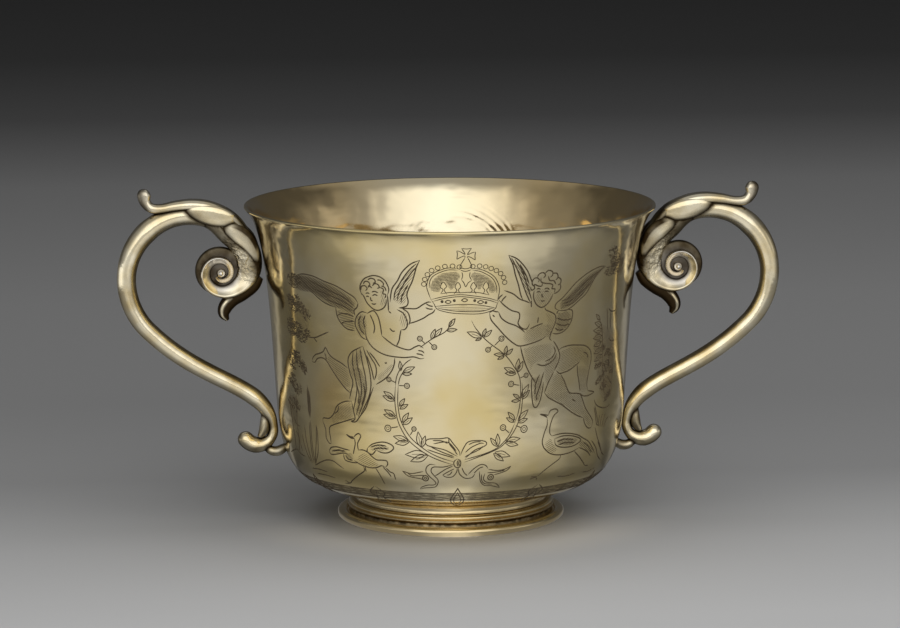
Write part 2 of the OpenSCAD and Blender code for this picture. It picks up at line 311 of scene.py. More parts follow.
def spin(profile, steps=TURN_STEPS):
    """Points and faces of a profile of (radius, height) turned about the axis; a radius of 0
    at either end closes the form with one point, otherwise the profile closes on itself."""
    angle = np.linspace(0, 2 * math.pi, steps, endpoint=False)
    points = []
    rings = []
    for radius, height in profile:
        if radius < 1e-9:
            rings.append([len(points)])
            points.append((0, 0, height))
        else:
            rings.append(list(range(len(points), len(points) + steps)))
            points.extend(zip(radius * np.sin(angle), -radius * np.cos(angle), [height] * steps))
    pairs = list(zip(rings, rings[1:]))
    if len(rings[0]) > 1:
        pairs.append((rings[-1], rings[0]))
    faces = []
    for low, high in pairs:
        for i in range(steps):
            j = (i + 1) % steps
            if len(low) == 1:
                faces.append((low[0], high[j], high[i]))
            elif len(high) == 1:
                faces.append((low[i], low[j], high[0]))
            else:
                faces.append((low[i], low[j], high[j], high[i]))
    return points, faces


# %% Pieces and what they stand for
def add_object(name, data):
    """A new object in the scene."""
    made = bpy.data.objects.new(name, data)
    bpy.context.scene.collection.objects.link(made)
    return made


def make_piece(name, points, faces, material, crease=60):
    """A smooth-shaded mesh object from points in millimetres, creased at sharp edges."""
    mesh = bpy.data.meshes.new(name)
    mesh.from_pydata((np.asarray(points) * MM).tolist(), [], faces)
    mesh.update()
    mesh.shade_smooth()
    mesh.set_sharp_from_angle(angle=math.radians(crease))
    mesh.materials.append(material)
    return add_object(name, mesh)


def set_attribute(piece, name, values):
    """Stores one number at each point of a piece, for its material to read."""
    layer = piece.data.attributes.new(name, "FLOAT", "POINT")
    layer.data.foreach_set("value", np.asarray(values, dtype=np.float32))


def fit(piece, slot, *nodes):
    """The piece stands for these solids and rides on the cup. The slot is not used."""
    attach(piece, "root")
    if nodes:
        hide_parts(*nodes)
    print(piece.name, len(piece.data.polygons), "faces")


# %% Bowl piece
LIP_STEPS = 7
inner = outline - WALL * outward
inner = inner[inner[:, 1] > FLOOR_Z + WALL]
lip_turn = np.linspace(0, math.pi, LIP_STEPS + 2)[1:-1]
lip = [lip_at + WALL / 2 * bearing(LIP_LEAN + math.degrees(a)) for a in lip_turn]
points, faces = spin([(0, FLOOR_Z), *outline[::-1], *lip, *inner, (0, FLOOR_Z + WALL)])
bowl = make_piece("bowl_sheet", points, faces, gilt_sheet)
xyz = np.array(points)
radius = np.hypot(xyz[:, 0], xyz[:, 1])
is_outside = radius > wall_r(xyz[:, 2]) - WALL / 2

# %% [markdown]
# Inside, less of the inside gold lies towards the lip, and amber is laid over it everywhere but at
# the back, which is left pale as a painted highlight. A warm tarnish bloom sits low on the left of
# the front, and brown polish residue lies in the border and, with painted shade, where the bowl
# meets the foot. All are stored at the points of the mesh, so they stay put on the bowl.

# %% Gold, pressed lines and tarnish inside the bowl
# Less inside gold towards the lip, part of the painted highlight
INSIDE_FADE = ([76, 84, 92], [1, 0.95, 0.75])
# Amber laid inside by bearing, left off at the back: a painted highlight
INSIDE_AMBER_BEARINGS = np.radians([-180, -166, -148, 148, 166, 180])
INSIDE_AMBER_BY_BEARING = [0, 0.15, 0.6, 0.6, 0.15, 0]
PRESSED_R = 16.5
PRESSED_HALF = 2
is_inside = (radius < wall_r(xyz[:, 2]) - WALL / 2) & (xyz[:, 2] > FLOOR_Z + WALL / 2)
set_attribute(bowl, "inside", is_inside * np.interp(xyz[:, 2], *INSIDE_FADE))
pressed_gap = abs(np.hypot(xyz[:, 0] - PRESSED_AT[0], xyz[:, 2] - PRESSED_AT[1]) - PRESSED_R)
pressed_ring = np.clip(2 - pressed_gap / PRESSED_HALF, 0, 1)
right_half = np.clip((xyz[:, 0] + 4) / 12, 0.1, 1)
set_attribute(bowl, "pressed", pressed_ring * right_half * is_inside * (xyz[:, 1] > 0))
angle_out = np.arctan2(xyz[:, 0], -xyz[:, 1])
# Painted highlight: the back of the inside gets no amber
inside_amber_painted = np.interp(angle_out, INSIDE_AMBER_BEARINGS, INSIDE_AMBER_BY_BEARING)

# %% Tarnish and residue outside
UNROLL_R = 55
DATUM_Z = 60
AMBER_AT = (-44, 44)
AMBER_SPREAD = (7, 11)
AMBER_MOST = 0.5
BORDER_TOP = 15.4
BORDER_LOW = 11.3
BORDER_BROWN = 0.5
FOOT_BROWN = 0.8
FOOT_REACH = 2.2
run = np.concatenate([[0], np.cumsum(np.linalg.norm(np.diff(outline, axis=0), axis=1))])
datum_run = float(np.interp(-DATUM_Z, -outline[:, 1], run))
across = angle_out * UNROLL_R
up = DATUM_Z + datum_run - np.interp(-xyz[:, 2], -outline[:, 1], run)
bloom = ((across - AMBER_AT[0]) / AMBER_SPREAD[0]) ** 2 + ((up - AMBER_AT[1]) / AMBER_SPREAD[1]) ** 2
set_attribute(bowl, "amber", np.where(is_outside, AMBER_MOST * np.exp(-bloom), inside_amber_painted))
# Brown where the bowl meets the foot: residue, with painted shade under the belly
foot_gap = np.hypot(radius - BASE_R, xyz[:, 2] - FLOOR_Z)
at_foot = np.clip(FOOT_BROWN - foot_gap / FOOT_REACH, 0, FOOT_BROWN)
in_border = np.interp(up, [BORDER_LOW - 0.5, BORDER_LOW + 0.2, BORDER_TOP - 0.2, BORDER_TOP + 0.5],
                      [0, 1, 1, 0])
set_attribute(bowl, "shade_and_residue", np.maximum(at_foot, BORDER_BROWN * in_border) * is_outside)
fit(bowl, "gilt_sheet", "bowl")

# %% [markdown]
# ## Engraving
# The ornament is a chased scene in fine dark lines: two winged children hold a crown over a
# tied wreath, with cranes, reeds, trees and a hatched border. Each line is a cut made with a
# burin, a V-shaped groove that fills with dark residue and holds shade, both painted here as one
# brown. The drawing is kept flat, as the engraver's paper pattern was: across is measured along
# the bowl and up along its wall. Every line of the text below is one cut, as pairs of across,up
# in millimetres, and an indented line goes on from the one above it.

# %% The crown
CROWN = """
-1.2,92.6 0.1,92.4 1.5,92.6
-1.2,92.6 -0.4,91.2 -0.25,90.6 -1.4,91.4 -2.45,91.9
-2.45,91.9 -2.3,90.5 -2.45,89
-2.45,89 -1.2,89.8 -0.25,90.1 -0.25,89.4
1.5,92.6 0.7,91.2 0.5,90.5 1.5,91 2.65,91.4
2.65,91.4 2.5,90.1 2.65,88.7
2.65,88.7 1.4,89.6 0.5,89.9 0.6,89.4
-0.25,89.4 -0.9,88.2 -1.5,86.9 -1.5,85.9
0.6,89.4 1.2,88.1 1.7,86.9 1.6,86
-1.5,86.4 0,86 1.7,86.5
-1.4,85.6 0,85.2 1.6,85.7
-1,85 -0.8,83.8 -1.1,82.6
1.3,85 1.2,83.6 1.8,82.4
-1.1,82.6 -0.4,81.6 0.1,80.4 0.8,81.6 1.8,82.4
-2.1,86.1 -4.8,86.3 -7.3,85.5 -9,84.6 -10,83.6 -10.7,81.9 -10.9,80.2 -10.5,78.6 -9.8,76.5
1.8,86.1 4.3,85.7 6.4,84.7 8.1,83.4 9.1,81.9 9.7,80.2 9.8,78.2 9.3,75.7
1.8,85.6 4.1,85.1 6,84.1 7.6,82.9 8.5,81.5 9,79.9 9.1,78.2
-2.1,85.6 -4.7,85.7 -7.1,84.9 -8.7,84 -9.6,83 -10.1,81.6 -10.2,80
-9.8,76.5 -5.7,77.5 -1.5,78 2.7,77.5 6.8,76.7 9.7,75.7
-9.4,75.9 -5.7,76.9 -1.5,77.4 2.7,76.9 6.8,76.1 9.5,75.1
-8.8,74.4 -4.8,74.8 0,75 4.7,74.6 9.1,73.6
-9.8,76.5 -8.8,75 -8.6,74.4 -7.7,73.4 -4.4,72.5 0,72.1 4.7,72.1 8.5,73.2 9.3,74.8 9.7,75.7
-8,73.9 -4.4,73.2 0,72.8 4.7,72.8 8.4,73.7
-7,78.3 -6.3,79.6 -7.1,80.4 -6.2,81.9 -5.3,80.5 -6,79.6 -5.2,78.1
-3.2,78.2 -2.4,79.4 -2.9,80.4 -2.1,81.8 -1.3,80.4 -2,79.4 -1.3,78.4
1.2,78.4 2,79.3 1.5,80.3 2.3,81.7 3.1,80.3 2.5,79.3 3.2,78
5,78 5.6,79.2 5,80.2 5.9,81.8 6.7,80.2 6.1,79.2 6.9,77.7
-7,78.3 -4.2,78.7 -1.3,78.6 1.2,78.7 4,78.5 6.9,77.7
"""
CROWN_PEARLS_LEFT = "-1.7,86.6 -3.6,86.9 -5.7,86.8 -7.7,86.3 -9.4,85.5 -10.6,84.2 -11.4,82.7 -11.7,81.2"
CROWN_PEARLS_RIGHT = "2,86.7 3.9,86.8 5.6,86.5 7.2,85.9 8.7,85.2 10,84.2 10.9,82.9 11.3,81.4"
CROWN_JEWELS = "-6.6,75.9 -3.1,76.2 2.75,76.1 6,75.4"
CROWN_LOZENGES = "-4.9,75.8 -0.2,76.3 4.4,75.6"

# %% The winged child on the left
LEFT_CHILD = """
-30.5,77 -31,78.7 -30.7,80.3 -29.5,82 -28.1,82.8 -26.4,83.3 -24.5,83 -23.1,82 -22.3,80.5 -22,79.1
  -22.5,77.4
-30.6,77.6 -29.8,76.4 -29.2,75 -28.4,74 -27.2,73 -25.8,72.6 -24.2,73.2 -23.2,74.4 -22.8,76.2
-30.8,78.4 -30.4,79.7 -29.2,79.9 -28.7,79 -29.3,78.4
-29.8,80.4 -29.2,81.3 -28.1,81.2 -27.7,80.3 -28.4,79.9
-28.3,81.8 -27.3,82.4 -26.2,82.1 -26,81.2 -26.8,80.9
-27,80 -26.2,80.8 -25.1,80.5 -24.9,79.6 -25.6,79.4
-25.4,82 -24.4,81.9 -23.5,81 -23.7,80.2
-24.3,80.2 -23.2,79.8 -22.8,78.6
-28.5,79.4 -27.8,79.9 -27.1,79.3
-24.8,79.8 -23.6,79.2 -23.9,77.9 -23,77.6 -23.2,76.5
-29.2,76.5 -28.7,76.8 -28.2,76.5
-27.2,77 -26.4,77.4 -25.5,77.1
-29.3,77.5 -28.6,77.8 -28,77.5
-27.3,78.1 -26.4,78.4 -25.3,78
-27.8,76.6 -27.7,75.6 -27.1,75.4
-27.6,74.6 -26.8,74.4 -26.1,74.7
-22.5,77.4 -22.4,75 -22.4,72.6
-21.8,75.3 -21.4,78 -20.8,79.9 -19.3,82 -17.7,84.9 -15.2,87.4 -12.6,88.7
-12.6,88.7 -13.6,86.6 -14.1,84.9 -15,82 -16,79.9 -16.7,77.8 -16.4,75.7 -17,74.3 -19.3,73.7
-20.6,76 -20.2,78.4 -19,80.6 -17.4,83.2 -15.6,85.6 -13.6,87.6
-19.6,75.8 -19.2,77.8 -18.2,79.8 -16.8,82.2 -15.2,84.6 -13.4,86.9
-18.5,75.4 -18.2,77.2 -17.3,79 -16.2,81
-32,74.3 -33.1,76 -35.2,77.2 -39.3,79.1 -43.5,80.1 -47.7,81.2 -51.8,81.4 -54.6,80.9
-54.6,80.9 -52.8,79.4 -51,77.8 -48.5,75.9 -46,74.3 -43.5,73.2 -40,72.4
-32,74.3 -32.5,73 -33.5,72 -33.3,70.5
-40,72.4 -39.7,69.9 -38.5,67.8 -36.4,66.2 -33.7,65.8
-33.4,73.6 -36.4,75.6 -40.4,77 -45,78.4 -50,79.8
-33.8,72.8 -36.8,74.4 -40.6,75.6 -44.6,76.6 -48.6,77.4
-34.2,71.8 -37,73 -40,73.8 -43.6,74.6
-33.8,70.2 -36,70.8 -38.2,70.6 -39.7,69.9
-33.6,68.6 -35.4,68.6 -37.2,68.2 -38.3,67.6
-29.3,71.6 -31,71.8 -32.7,70.3 -33.4,68 -32.8,66.2 -31.4,64.1 -29.7,63.3
-31.4,70.6 -32.1,68.6 -31.6,66.4 -30.3,64.8
-29.9,70.8 -30.5,68.8 -30.1,66.8
-29.3,71.4 -27.2,72.4 -26,71.2 -25.4,69.5 -25,67 -24.8,64.9
-28.3,71.2 -27.4,69.2 -27,67.2 -27.4,65.4
-30,66.2 -29.7,63.7 -27.7,61 -23.8,59.1 -18.5,58.6 -15.2,58.9 -13.2,58.4 -12,58.6
-24.8,64.9 -22.6,63.2 -20.5,62 -16.8,61 -14.8,61.9 -13.4,62.4 -12.2,61.6
-13.9,60.9 -12.6,60.7 -12,60.1
-14.4,59.9 -13,59.7 -12.2,59.3
-19.8,73.2 -17.8,71.9 -16.8,69 -17.5,67.3 -18.8,67
-18.3,73.6 -16.6,72.4 -16,70.2 -16.4,68.6
-19.3,73.7 -16.2,73.6 -14,73.7 -12.2,74.9 -10.7,75.7 -9.7,75.7
-16.4,69 -14.3,69.7 -12,70.8 -10.6,71.8 -9.2,72.6 -8.6,73.6
-11.2,75.2 -10.2,74.6 -9.2,74.4
-11.4,74 -10.3,73.6 -9.2,73.6
-18.8,67 -19.2,65.2 -19.5,63.7 -20.4,61.9
-22.4,72.6 -21.6,71.9
-22.3,67.4 -21.4,66.5 -20.6,66.6
-21,58.4 -21.2,56.4 -22.2,54.1 -24.3,51.8 -27.2,49.9
-24.2,56.9 -23.8,56.5 -23.6,57
-31.4,61.2 -33.4,60.2 -35.2,59.1 -36.4,57.4 -36.6,55.3 -36,52.4 -35.2,49.9 -36,47 -36.7,44.6
-36,44.1 -35.4,41.2 -35,38.7 -36.4,37.8 -34.7,37.9 -33.2,39.6 -31,42.4 -29.7,45.3 -28.1,49.1
-30,60.3 -28.5,57.8 -27.2,55.7 -27,53.4 -27.7,51.2
-29,59.6 -27.4,57.8 -25.8,55.4
-34.6,59.4 -35,56 -34.4,52 -33.8,48.4 -34.4,45 -35.4,41.4
-33.4,60 -33.4,56 -32.6,52 -32.2,48 -33,44 -34.6,39.8
-32.2,60.8 -31.6,56.4 -30.8,52.4 -30.6,48.4 -31.6,44.4 -33.8,39.4
-31.2,61.4 -29.9,57 -29.1,53 -29,49 -30.2,45 -32.8,40.4
-30,58.6 -28.6,54.6 -27.9,51.2
-34.2,50.4 -33.2,46.6 -33.6,43.4
-31.4,50 -31.2,46.6 -32.4,43.2
-36.8,54.1 -39.3,55.5 -42.2,56.6 -43.9,57.8 -45.1,59.5 -46.2,58.2 -47.9,57.4 -49.7,56.8 -51,55.7
  -51.5,54.5
-51.5,54.5 -50.2,54.4 -48.9,55.7 -46.8,56.2 -45,55.5 -43.1,53.2 -40.6,50.3 -38.1,47.8 -36.2,46.4
-45.6,57.9 -45.2,56.9 -45,55.7
-36,44.1 -38.5,43.7 -40.6,42.8 -42,41.6 -43.1,39.5 -45.2,37.8 -47.7,37.6 -48.1,36.6
-35.2,38.9 -37.7,38 -40.6,37 -43.5,36 -45.1,35.1 -45.4,33.6 -45.1,31.6 -45.1,29.9
-48.1,36.6 -47,34.1 -47,31.6 -46,30.1 -45.1,29.9
-41,42.1 -41.4,40.6 -42.6,39.6
"""
# %% The winged child on the right
RIGHT_CHILD = """
11.9,89.9 14.2,88.8 16.1,87 18,84.5 19.2,82 20,80.1
11.9,89.9 13.4,86.8 14.4,83.4 15.5,80.3 16.3,77.4 17.1,75.6
12.8,89.1 15,84.8 16.8,80.5 18.3,77 19.7,74.4
13.8,88.6 16.2,84.8 17.8,81 19,77.8 19.9,75.4
15.4,86.9 17.4,83.6 18.8,80.4
20.6,79.4 19.7,80.4 20,81.8 21.1,82.2 21.9,81.5 21.6,80.7
21.2,82.3 21.8,83.4 23.1,83.6 23.8,82.7 23.2,81.9
23.6,83.3 24.6,84.2 26,83.7 26.2,82.6 25.4,82
26.2,83.2 27.6,83 28.1,81.8 27.4,80.9
28.1,81.8 29.2,81 29.2,79.8 28.3,79.3
29.1,79.6 29.4,78.4 28.6,77.3 27.2,76.7
19.3,79.6 19.6,78.5 20.6,78.9 20.4,80.2 21.7,79.6 22.9,79.5 22.9,80.6
22.4,82.2 22.6,80.8 24.2,80.2 25.6,80 26.6,79.4 26.3,78.4 27.4,78.2 27.3,77
24.8,82.4 25.4,81 26.8,80.8 27.6,79.6
20.5,78.3 20.4,76.4 21,74.7 22,73.5 23.4,72.9 25,73.7 26.3,75.3 26.9,76.8
21.3,77.6 21.9,77.9 22.6,77.6
23.8,77.5 24.6,77.8 25.4,77.4
21.2,78.6 21.9,78.8 22.6,78.5
23.8,78.5 24.7,78.7 25.6,78.2
23.1,77.2 23.2,76.3 23.7,76
22.8,75 23.5,74.8 24.2,75
19.8,75.3 19.9,73.2
24.4,72.9 24.8,72 26.5,71.2 28,70.3 28.5,68.9 28.2,67.4 27.2,65.2 26.6,63.2 27.3,62.4
11.3,78.9 14,77.7 16.1,76 18,75.2 19.4,74.5
9.8,76 11.7,74.1 13.8,72.6 16,71.8 16.3,70.3 15.9,68.5 17.2,67 18.7,66.7 19.6,68.2
10.9,77.7 10,76.9 9.6,76.1
12,77.2 11,76.2 10.6,75.4
19.8,66.6 21.9,67.4 24,68
22.4,70 22.2,68.2
9.8,72.4 10.7,70.5 12.6,69 15.2,67.9 17,66.7 18.2,65.6
7.1,72.3 7.7,70 10,67.2 12.3,64.6 14.9,62.4 16.9,61.6 20.7,62.2 23.8,63.1 25.2,63.9
7.1,72.3 8,72.8 9,72.5 9.8,72.4
8,71.6 8.7,70.9
29.2,71.5 28,72.3 28.3,73.7 30.2,75 32.4,77 34.9,79.3 38.2,81.3 41.5,82.6 44.8,83.2 47.4,83
47.4,83 45.2,82 43,80.1 41.4,77.8 39.7,75.6 37.3,74 34.8,72.4 32.8,71.4 30.8,71.2 29.2,71.5
29.2,71.5 28.6,70.4
30,74.2 33,75 36.4,77.4 39.4,79.4 43,81.2 46,82.4
30.6,73.3 33.6,74 36.6,75.8 39.4,77.4 42,79.2
31.4,72.6 34,73 36.4,74.4 38.8,76
32.8,71.3 34.3,71 34.7,69.6 34.3,67.5 32.8,65.6 30.8,64.5 28.8,64.3 27.4,64.7
28.8,69.2 30.8,68.4 33,68.2 34.5,68.4
28.6,67.6 30.4,66.8 32.2,66.6 33.9,66.8
28.2,66.2 29.6,65.4 31.4,65.4
16.9,61.5 17.5,59.1 18.7,55.8 20.2,52.9 21.7,50.7 22.6,49.7
28,62.2 29.4,60.3 30.2,58.8 30.6,57.3 30,55.2 28.7,53
29.4,58.4 28.6,56.8 26.9,55.5 24.6,55 22.4,55.7
28.2,60.6 28.8,58.8 27.4,57 25.2,56.2
21,52.4 20.9,48.9 21.3,44.8 21.9,42.7 22.9,42.5 24,44.3 24.7,47.4 25,49.9
25,53 23.9,49.4 22.8,45.9 22.9,44.4
28.6,52.8 26.6,49.3 25.5,46.6
23.6,52.4 22.4,49.8 22.1,46.4
30,59.2 31.6,59.9 34.5,60.2 37.7,59.9 40.6,59.4 42.7,58.3 43.8,56.9 44.1,54.6 43.5,52.1 43,49.6
  42.7,47.3 43.2,45.2
39,54.7 37.2,53.8 34.7,52.6 32.3,52.1 30.7,52 29.5,53
37.8,53.9 38.2,51.1 39,48.2 39.7,45.4
40.2,57.4 41.8,56.8 42.6,55.4
39.7,44.9 40.8,44 42.8,43.6 44.8,43.8 46.5,44.3 44.8,44.8 43.2,45.2
31,52 32.8,49.4 34,47.1 35.3,45.5 38.2,45 39.9,44.4 41.2,42.3 42.4,40.2 44.1,38.2 45.8,36.5 46.8,34.9
  46.1,33.3
46.1,33.3 44.4,33.5 42.8,34.9 41.8,37
25.5,46.6 27,45 29.5,43.6 32,42.3 34.1,40.9 36.6,39.3 39.1,38 41.8,37
36.4,43.4 38,42.6
"""
# %% The wreath and its ribbon
WREATH = """
-21,50 -21.3,45.8 -21.1,42.5 -20.5,39.2 -19,35.8 -17,33.1 -14.2,30.8 -10.9,28.7 -7.2,27.1 -3.8,26
-20.1,50.2 -20.4,45.6 -20.2,42.4 -19.6,39.4 -18.2,36.5 -16.3,33.9 -13.6,31.6 -10.4,29.5 -6.8,27.9
  -3.4,26.9
-21,50 -20.6,52.4 -19.6,54.6 -17.6,57 -15.9,58.2
-20.1,50.2 -19.6,52.2 -18.6,54 -17.4,55.6
-13.2,61.8 -9.9,64.3 -5.9,66.6 -4.4,68.6 -3.6,70.6
1.9,70 3.1,67.7 5.4,64.8 7.9,62.5 10.4,60.6 12.9,58.3 15,55.4 16.7,52.5 17.3,49.2 17.3,45 16.7,41.2
  15.6,37.9
15.6,37.9 13.7,34.2 10.4,31 6.2,29.2 0,27.5
17.7,50.4 18,46.7 17.7,41.7 16.6,37.8 14.6,34.4 11.6,31.3 8.2,29.6 4.2,28.2 0,26.7
"""
RIBBON = """
-2.3,28.6 -3.2,29.1 -6.1,30.6 -9.4,31.4 -11.5,32 -12,32.9 -11.1,33.9 -7.3,34.1 -5,34.3 -3.6,32.7
  -1.7,30.2 -1.5,28.8
-9.6,32.5 -6.1,33.1 -4.4,32.5 -2.5,30.2
-11.5,30.7 -7.3,29.3 -3.2,28.1
-10.4,31.5 -6.6,29.8 -3.2,28.5
-4.9,34.2 -4.6,32.4 -3.2,30.6 -2.2,29
-9.8,33.5 -7,33.4 -5.2,32.6
-1.3,28.9 -0.2,31.4 1.2,33.1 4.3,33.4 6.4,33 6.8,32.2 5.8,31.4 3.1,30.4 0.2,27.9
0.2,29.8 2.2,31.4 4.8,32.5 6,32.4
0,28.3 1.8,29.3 4.6,30.6 5.6,31.6
1.2,32.2 3,32.9 5,33
-2.3,27.8 -3.2,27 -3.3,26 -2.7,25.1 -1.6,25.1 -1.2,26 -1.3,27.2 -2.3,27.8
-1.9,27.5 -2.3,26.4 -1.9,25.3
-1.5,27.2 -1.8,26.4 -1.5,25.5
-3.4,26 -6.5,25.2 -9.8,25.1 -10.5,23.7 -9.6,22.3 -8.5,21 -8.4,19.8 -9.2,18.3 -10.7,17.9 -13.2,17.6
  -14.5,17.1
-9,25.8 -10.7,26 -11.9,25 -12.1,23.5 -11.1,22 -9.6,20.5 -9.1,19.5 -10,18.9 -11.9,18.8 -14,17.9
  -14.5,17.1
-3.6,25.5 -6,24.4 -8.6,22.6 -9.4,22.2
-19.8,23.5 -17.8,22.9 -16.5,22.8 -13,23.6
-19.8,23.5 -17.8,21.8 -14,21.1 -13.2,20.6
-18,22.7 -16.6,22 -14.6,22.2 -12.8,22.3
-6.9,22.5 -5.3,23.5 -3.2,24.6
-6.9,22.5 -5.7,21.8 -3.8,21.9 -2.5,23.4 -2.2,25
-5.6,22.5 -4.6,22.7 -3.8,23.8
-1.9,24.9 -1.5,22.9 0.2,21.4 2.4,21.5 3.5,22.9
-0.8,24.9 0,23.2 1,22.2
1.2,22.6 3.1,24.6 5.2,25.8 6.8,25.4 7.5,24.4
3.1,23 4.7,24.6 6,25
7.7,24.1 10.6,23.6 13.1,23.9 15.1,24.8
15.1,24.8 13.9,23.5 11.8,22.7 9.6,22.2
7.4,23 9,23 11.4,23.2 13.2,23.6
4.8,23.6 5,21.8 5.4,20 6.8,18.5 9.3,18.2 12.2,17.2
6.6,22.8 6.3,20.8 7.6,19.6 10.2,19.2 11.4,18.3 12.2,17.2
5.6,22.6 5.7,20.6 6.8,19.2 9.4,18.8
"""
WREATH_LEAVES = """
-21.3,45.8 -24.9,48
-21.3,45.2 -25.3,46.6
-21.1,40.6 -24.9,42.4
-21,40 -25.2,40.9
-17.4,33.3 -22.2,34.4
-17,32.8 -21.7,32.2
-11.6,29.3 -18.6,28.9
-11.2,28.8 -17,26.7
-19.2,54.4 -19.4,57.6
-18.6,54.2 -14.8,55.9
-18.8,53.6 -15.7,53.7
-20,43.6 -18.1,46.2
-19.9,42.8 -17.1,44.4
-19.2,38.7 -17,41.9
-19,38 -15.8,40.4
-13.6,31.4 -14.3,36.2
-13.2,31.2 -12,35
-9.9,64.3 -8.6,67.6
-9,65 -6.6,67.9
-5.4,67 -2.2,67.4
-4.8,68 -2.8,70.8
5,64.8 0.5,66.6
5,64.6 3,63.9
5.2,65 6.2,67.6
5.6,64.8 8,67
12,59.2 12.6,62
12.4,59 14.6,61
11.8,59.2 8.6,59.5
12,58.9 9.7,57.9
15.6,53.6 11.8,55.3
15.8,53.2 12.1,53.6
16,54 16.5,57.9
16.3,53.6 17.9,57
17.2,45.6 14.8,47.1
17.2,45 14.3,44.9
17.6,45.6 20,49.8
17.8,45.2 20.4,48
15.8,39 13.3,41.7
15.6,38.4 12.8,40
16.6,38.8 20.1,42
16.6,38.2 20,39.2
12.9,32.9 17.7,33.3
12.6,32.3 17.1,31.3
10.2,31.2 7.9,34.1
10.4,31.2 10.2,35.3
9.4,29.6 14.6,27.9
9,29.2 12.5,26.5
"""
WREATH_BERRIES = """
-17.4,50 0.8 -20,50
-23.8,36.7 1 -20.4,37.4
-15.5,36.9 0.7 -16.8,34.9
-23,51.7 0.7 -20.8,50.8
-13.2,64.5 0.75 -11.6,62.9
-9,62 0.75 -10.6,63.6
6.9,61 0.75 8.2,62.2
10.9,64.2 0.8 8.8,62.2
14.2,50.2 0.85 16.9,49.6
19,52.5 0.7 17,51.8
11.9,37 0.9 14,35.2
18.8,36.1 1.1 16,37.4
"""

# %% Cranes, reeds and trees
CRANES = """
-38.6,33.6 -37.2,33.1 -35.7,33
-38.6,33.6 -37,32.7 -35.5,32.6
-35.7,33 -35,33.8 -33.9,34.3 -33.2,33.6 -33.8,32.4 -34.5,31.2 -34.5,29.9 -34.4,29
-35.5,32.6 -35.4,31 -36,29 -36.5,27.6
-46.4,27.4 -45.2,28.7 -42.7,29.2 -39.8,28.9 -37.7,28.7
-46.4,27.4 -45.6,26.5 -43.5,26.8 -40.6,27.5 -38.6,27.6
-45,27.8 -42.4,28.2 -39.6,28.2
-40.4,27.2 -40,25.4 -37.8,24.9 -35.2,24.9
-39.4,26.9 -38.8,25.8 -37,25.6
-34.5,29.1 -32.7,29.3 -31,28.7 -29.8,27.6 -28.2,26.6 -26.4,26.6 -24.8,26.5 -24.5,25.4 -25.4,24.3
-36.4,25.6 -33.9,24.4 -31,23.8 -28.6,24 -26.6,24.8 -25.4,24.3
-31,30.1 -29.3,31.4 -26.8,32.2 -24.7,32.3 -22.7,31.6 -22.2,30.5 -23.9,29.2 -26,29 -28.1,29.6
-31,30.1 -31.2,28.9 -29.6,28.2 -28.1,29.6
-30,30.4 -27.4,31.3 -24.6,31.2
-29.2,29.8 -26.8,30.4 -23.8,30.3
-25.2,24.2 -23.9,22.9 -22.8,22.4 -22.4,20.3
-26.2,24.4 -24.6,22.6 -23.8,21.2
-33.3,24.2 -33.2,22.5 -36,20.6 -39.3,18.2 -40.6,17.1 -43.3,16.6
-40.6,17.1 -42.4,17.9
-32.6,24 -32.6,22.2
-28.9,23.9 -27.7,21.6 -26.5,18.2
24.1,40.2 26,39.8 27.2,39.5
24.1,40.2 26.2,39.3 26.8,38.9
27.2,39.5 27.8,40.8 29,41.2 30.2,41.1 30.8,40.3 29.7,39.6 28.8,38.4 28,36 28,34 28.8,33
26.8,38.9 26.9,36.6 26,34.3 25.4,32 25.6,30.6 26.5,29.2 29,27.4 33,26.6 37.6,26.9 41,27.8
28.8,33 32.3,33.3 35.6,33 39.6,32 42.2,30.7 45.5,29 48.8,26 50.2,24.6
41,27.8 43.6,26.8 46.2,25.4 48,24
30,32 33.5,32.5 38,31.8 41.4,30.2 38.2,28.8 33.6,28.9 30.6,30 30,32
31,31 34,31.4 38,30.8
31.6,30 34.6,30.2 38.4,29.8
42.6,29.4 45.4,27.6 48,25.4
33,26.6 32.8,25.4 30.4,24 27.7,22.3 25,20.2
25,20.2 22.4,19.5
25,20.2 22.8,20.4
25,20.2 25.2,19
38.9,26.9 42.2,24.4 46.2,21.1
46.2,21.1 48.2,20.8
"""
REEDS = """
-54.8,35.3 -55,30.3 -55.6,22
-54.1,36 -54.3,30.3 -54.8,22
-51.4,35 -51,32 -51.8,26.6 -53.9,23.2 -55.2,21.4
-51.4,35 -51.8,31 -53,26.6 -54.8,22.4
-57.6,34 -57.4,29 -56.4,22
-59.6,31 -58.8,26.4 -57,22
-55.2,21.4 -51.8,23 -48.1,24.3 -45.2,24.3 -42.7,23 -41.2,22.2
-56,18.4 -51,18.6 -46.6,18.2
-58,20 -53.6,20.3 -49.6,20
-55,62 -50,62 -47,63 -43.5,64.5
-50,62 -48.6,60.8
33.6,19.2 37.6,18.7 42,19.1
46,18.8 50,18.4 54,19
"""
FERN_LEAVES = """
47.6,66.2 45.1,68.4
48.8,64.6 44.7,65.8
49.2,63 44.3,63.4
49.4,61.2 44.4,61
49.4,59.4 44.9,58.6
49.6,57.4 45.2,56.2
49.8,55.4 45.6,53.8
"""
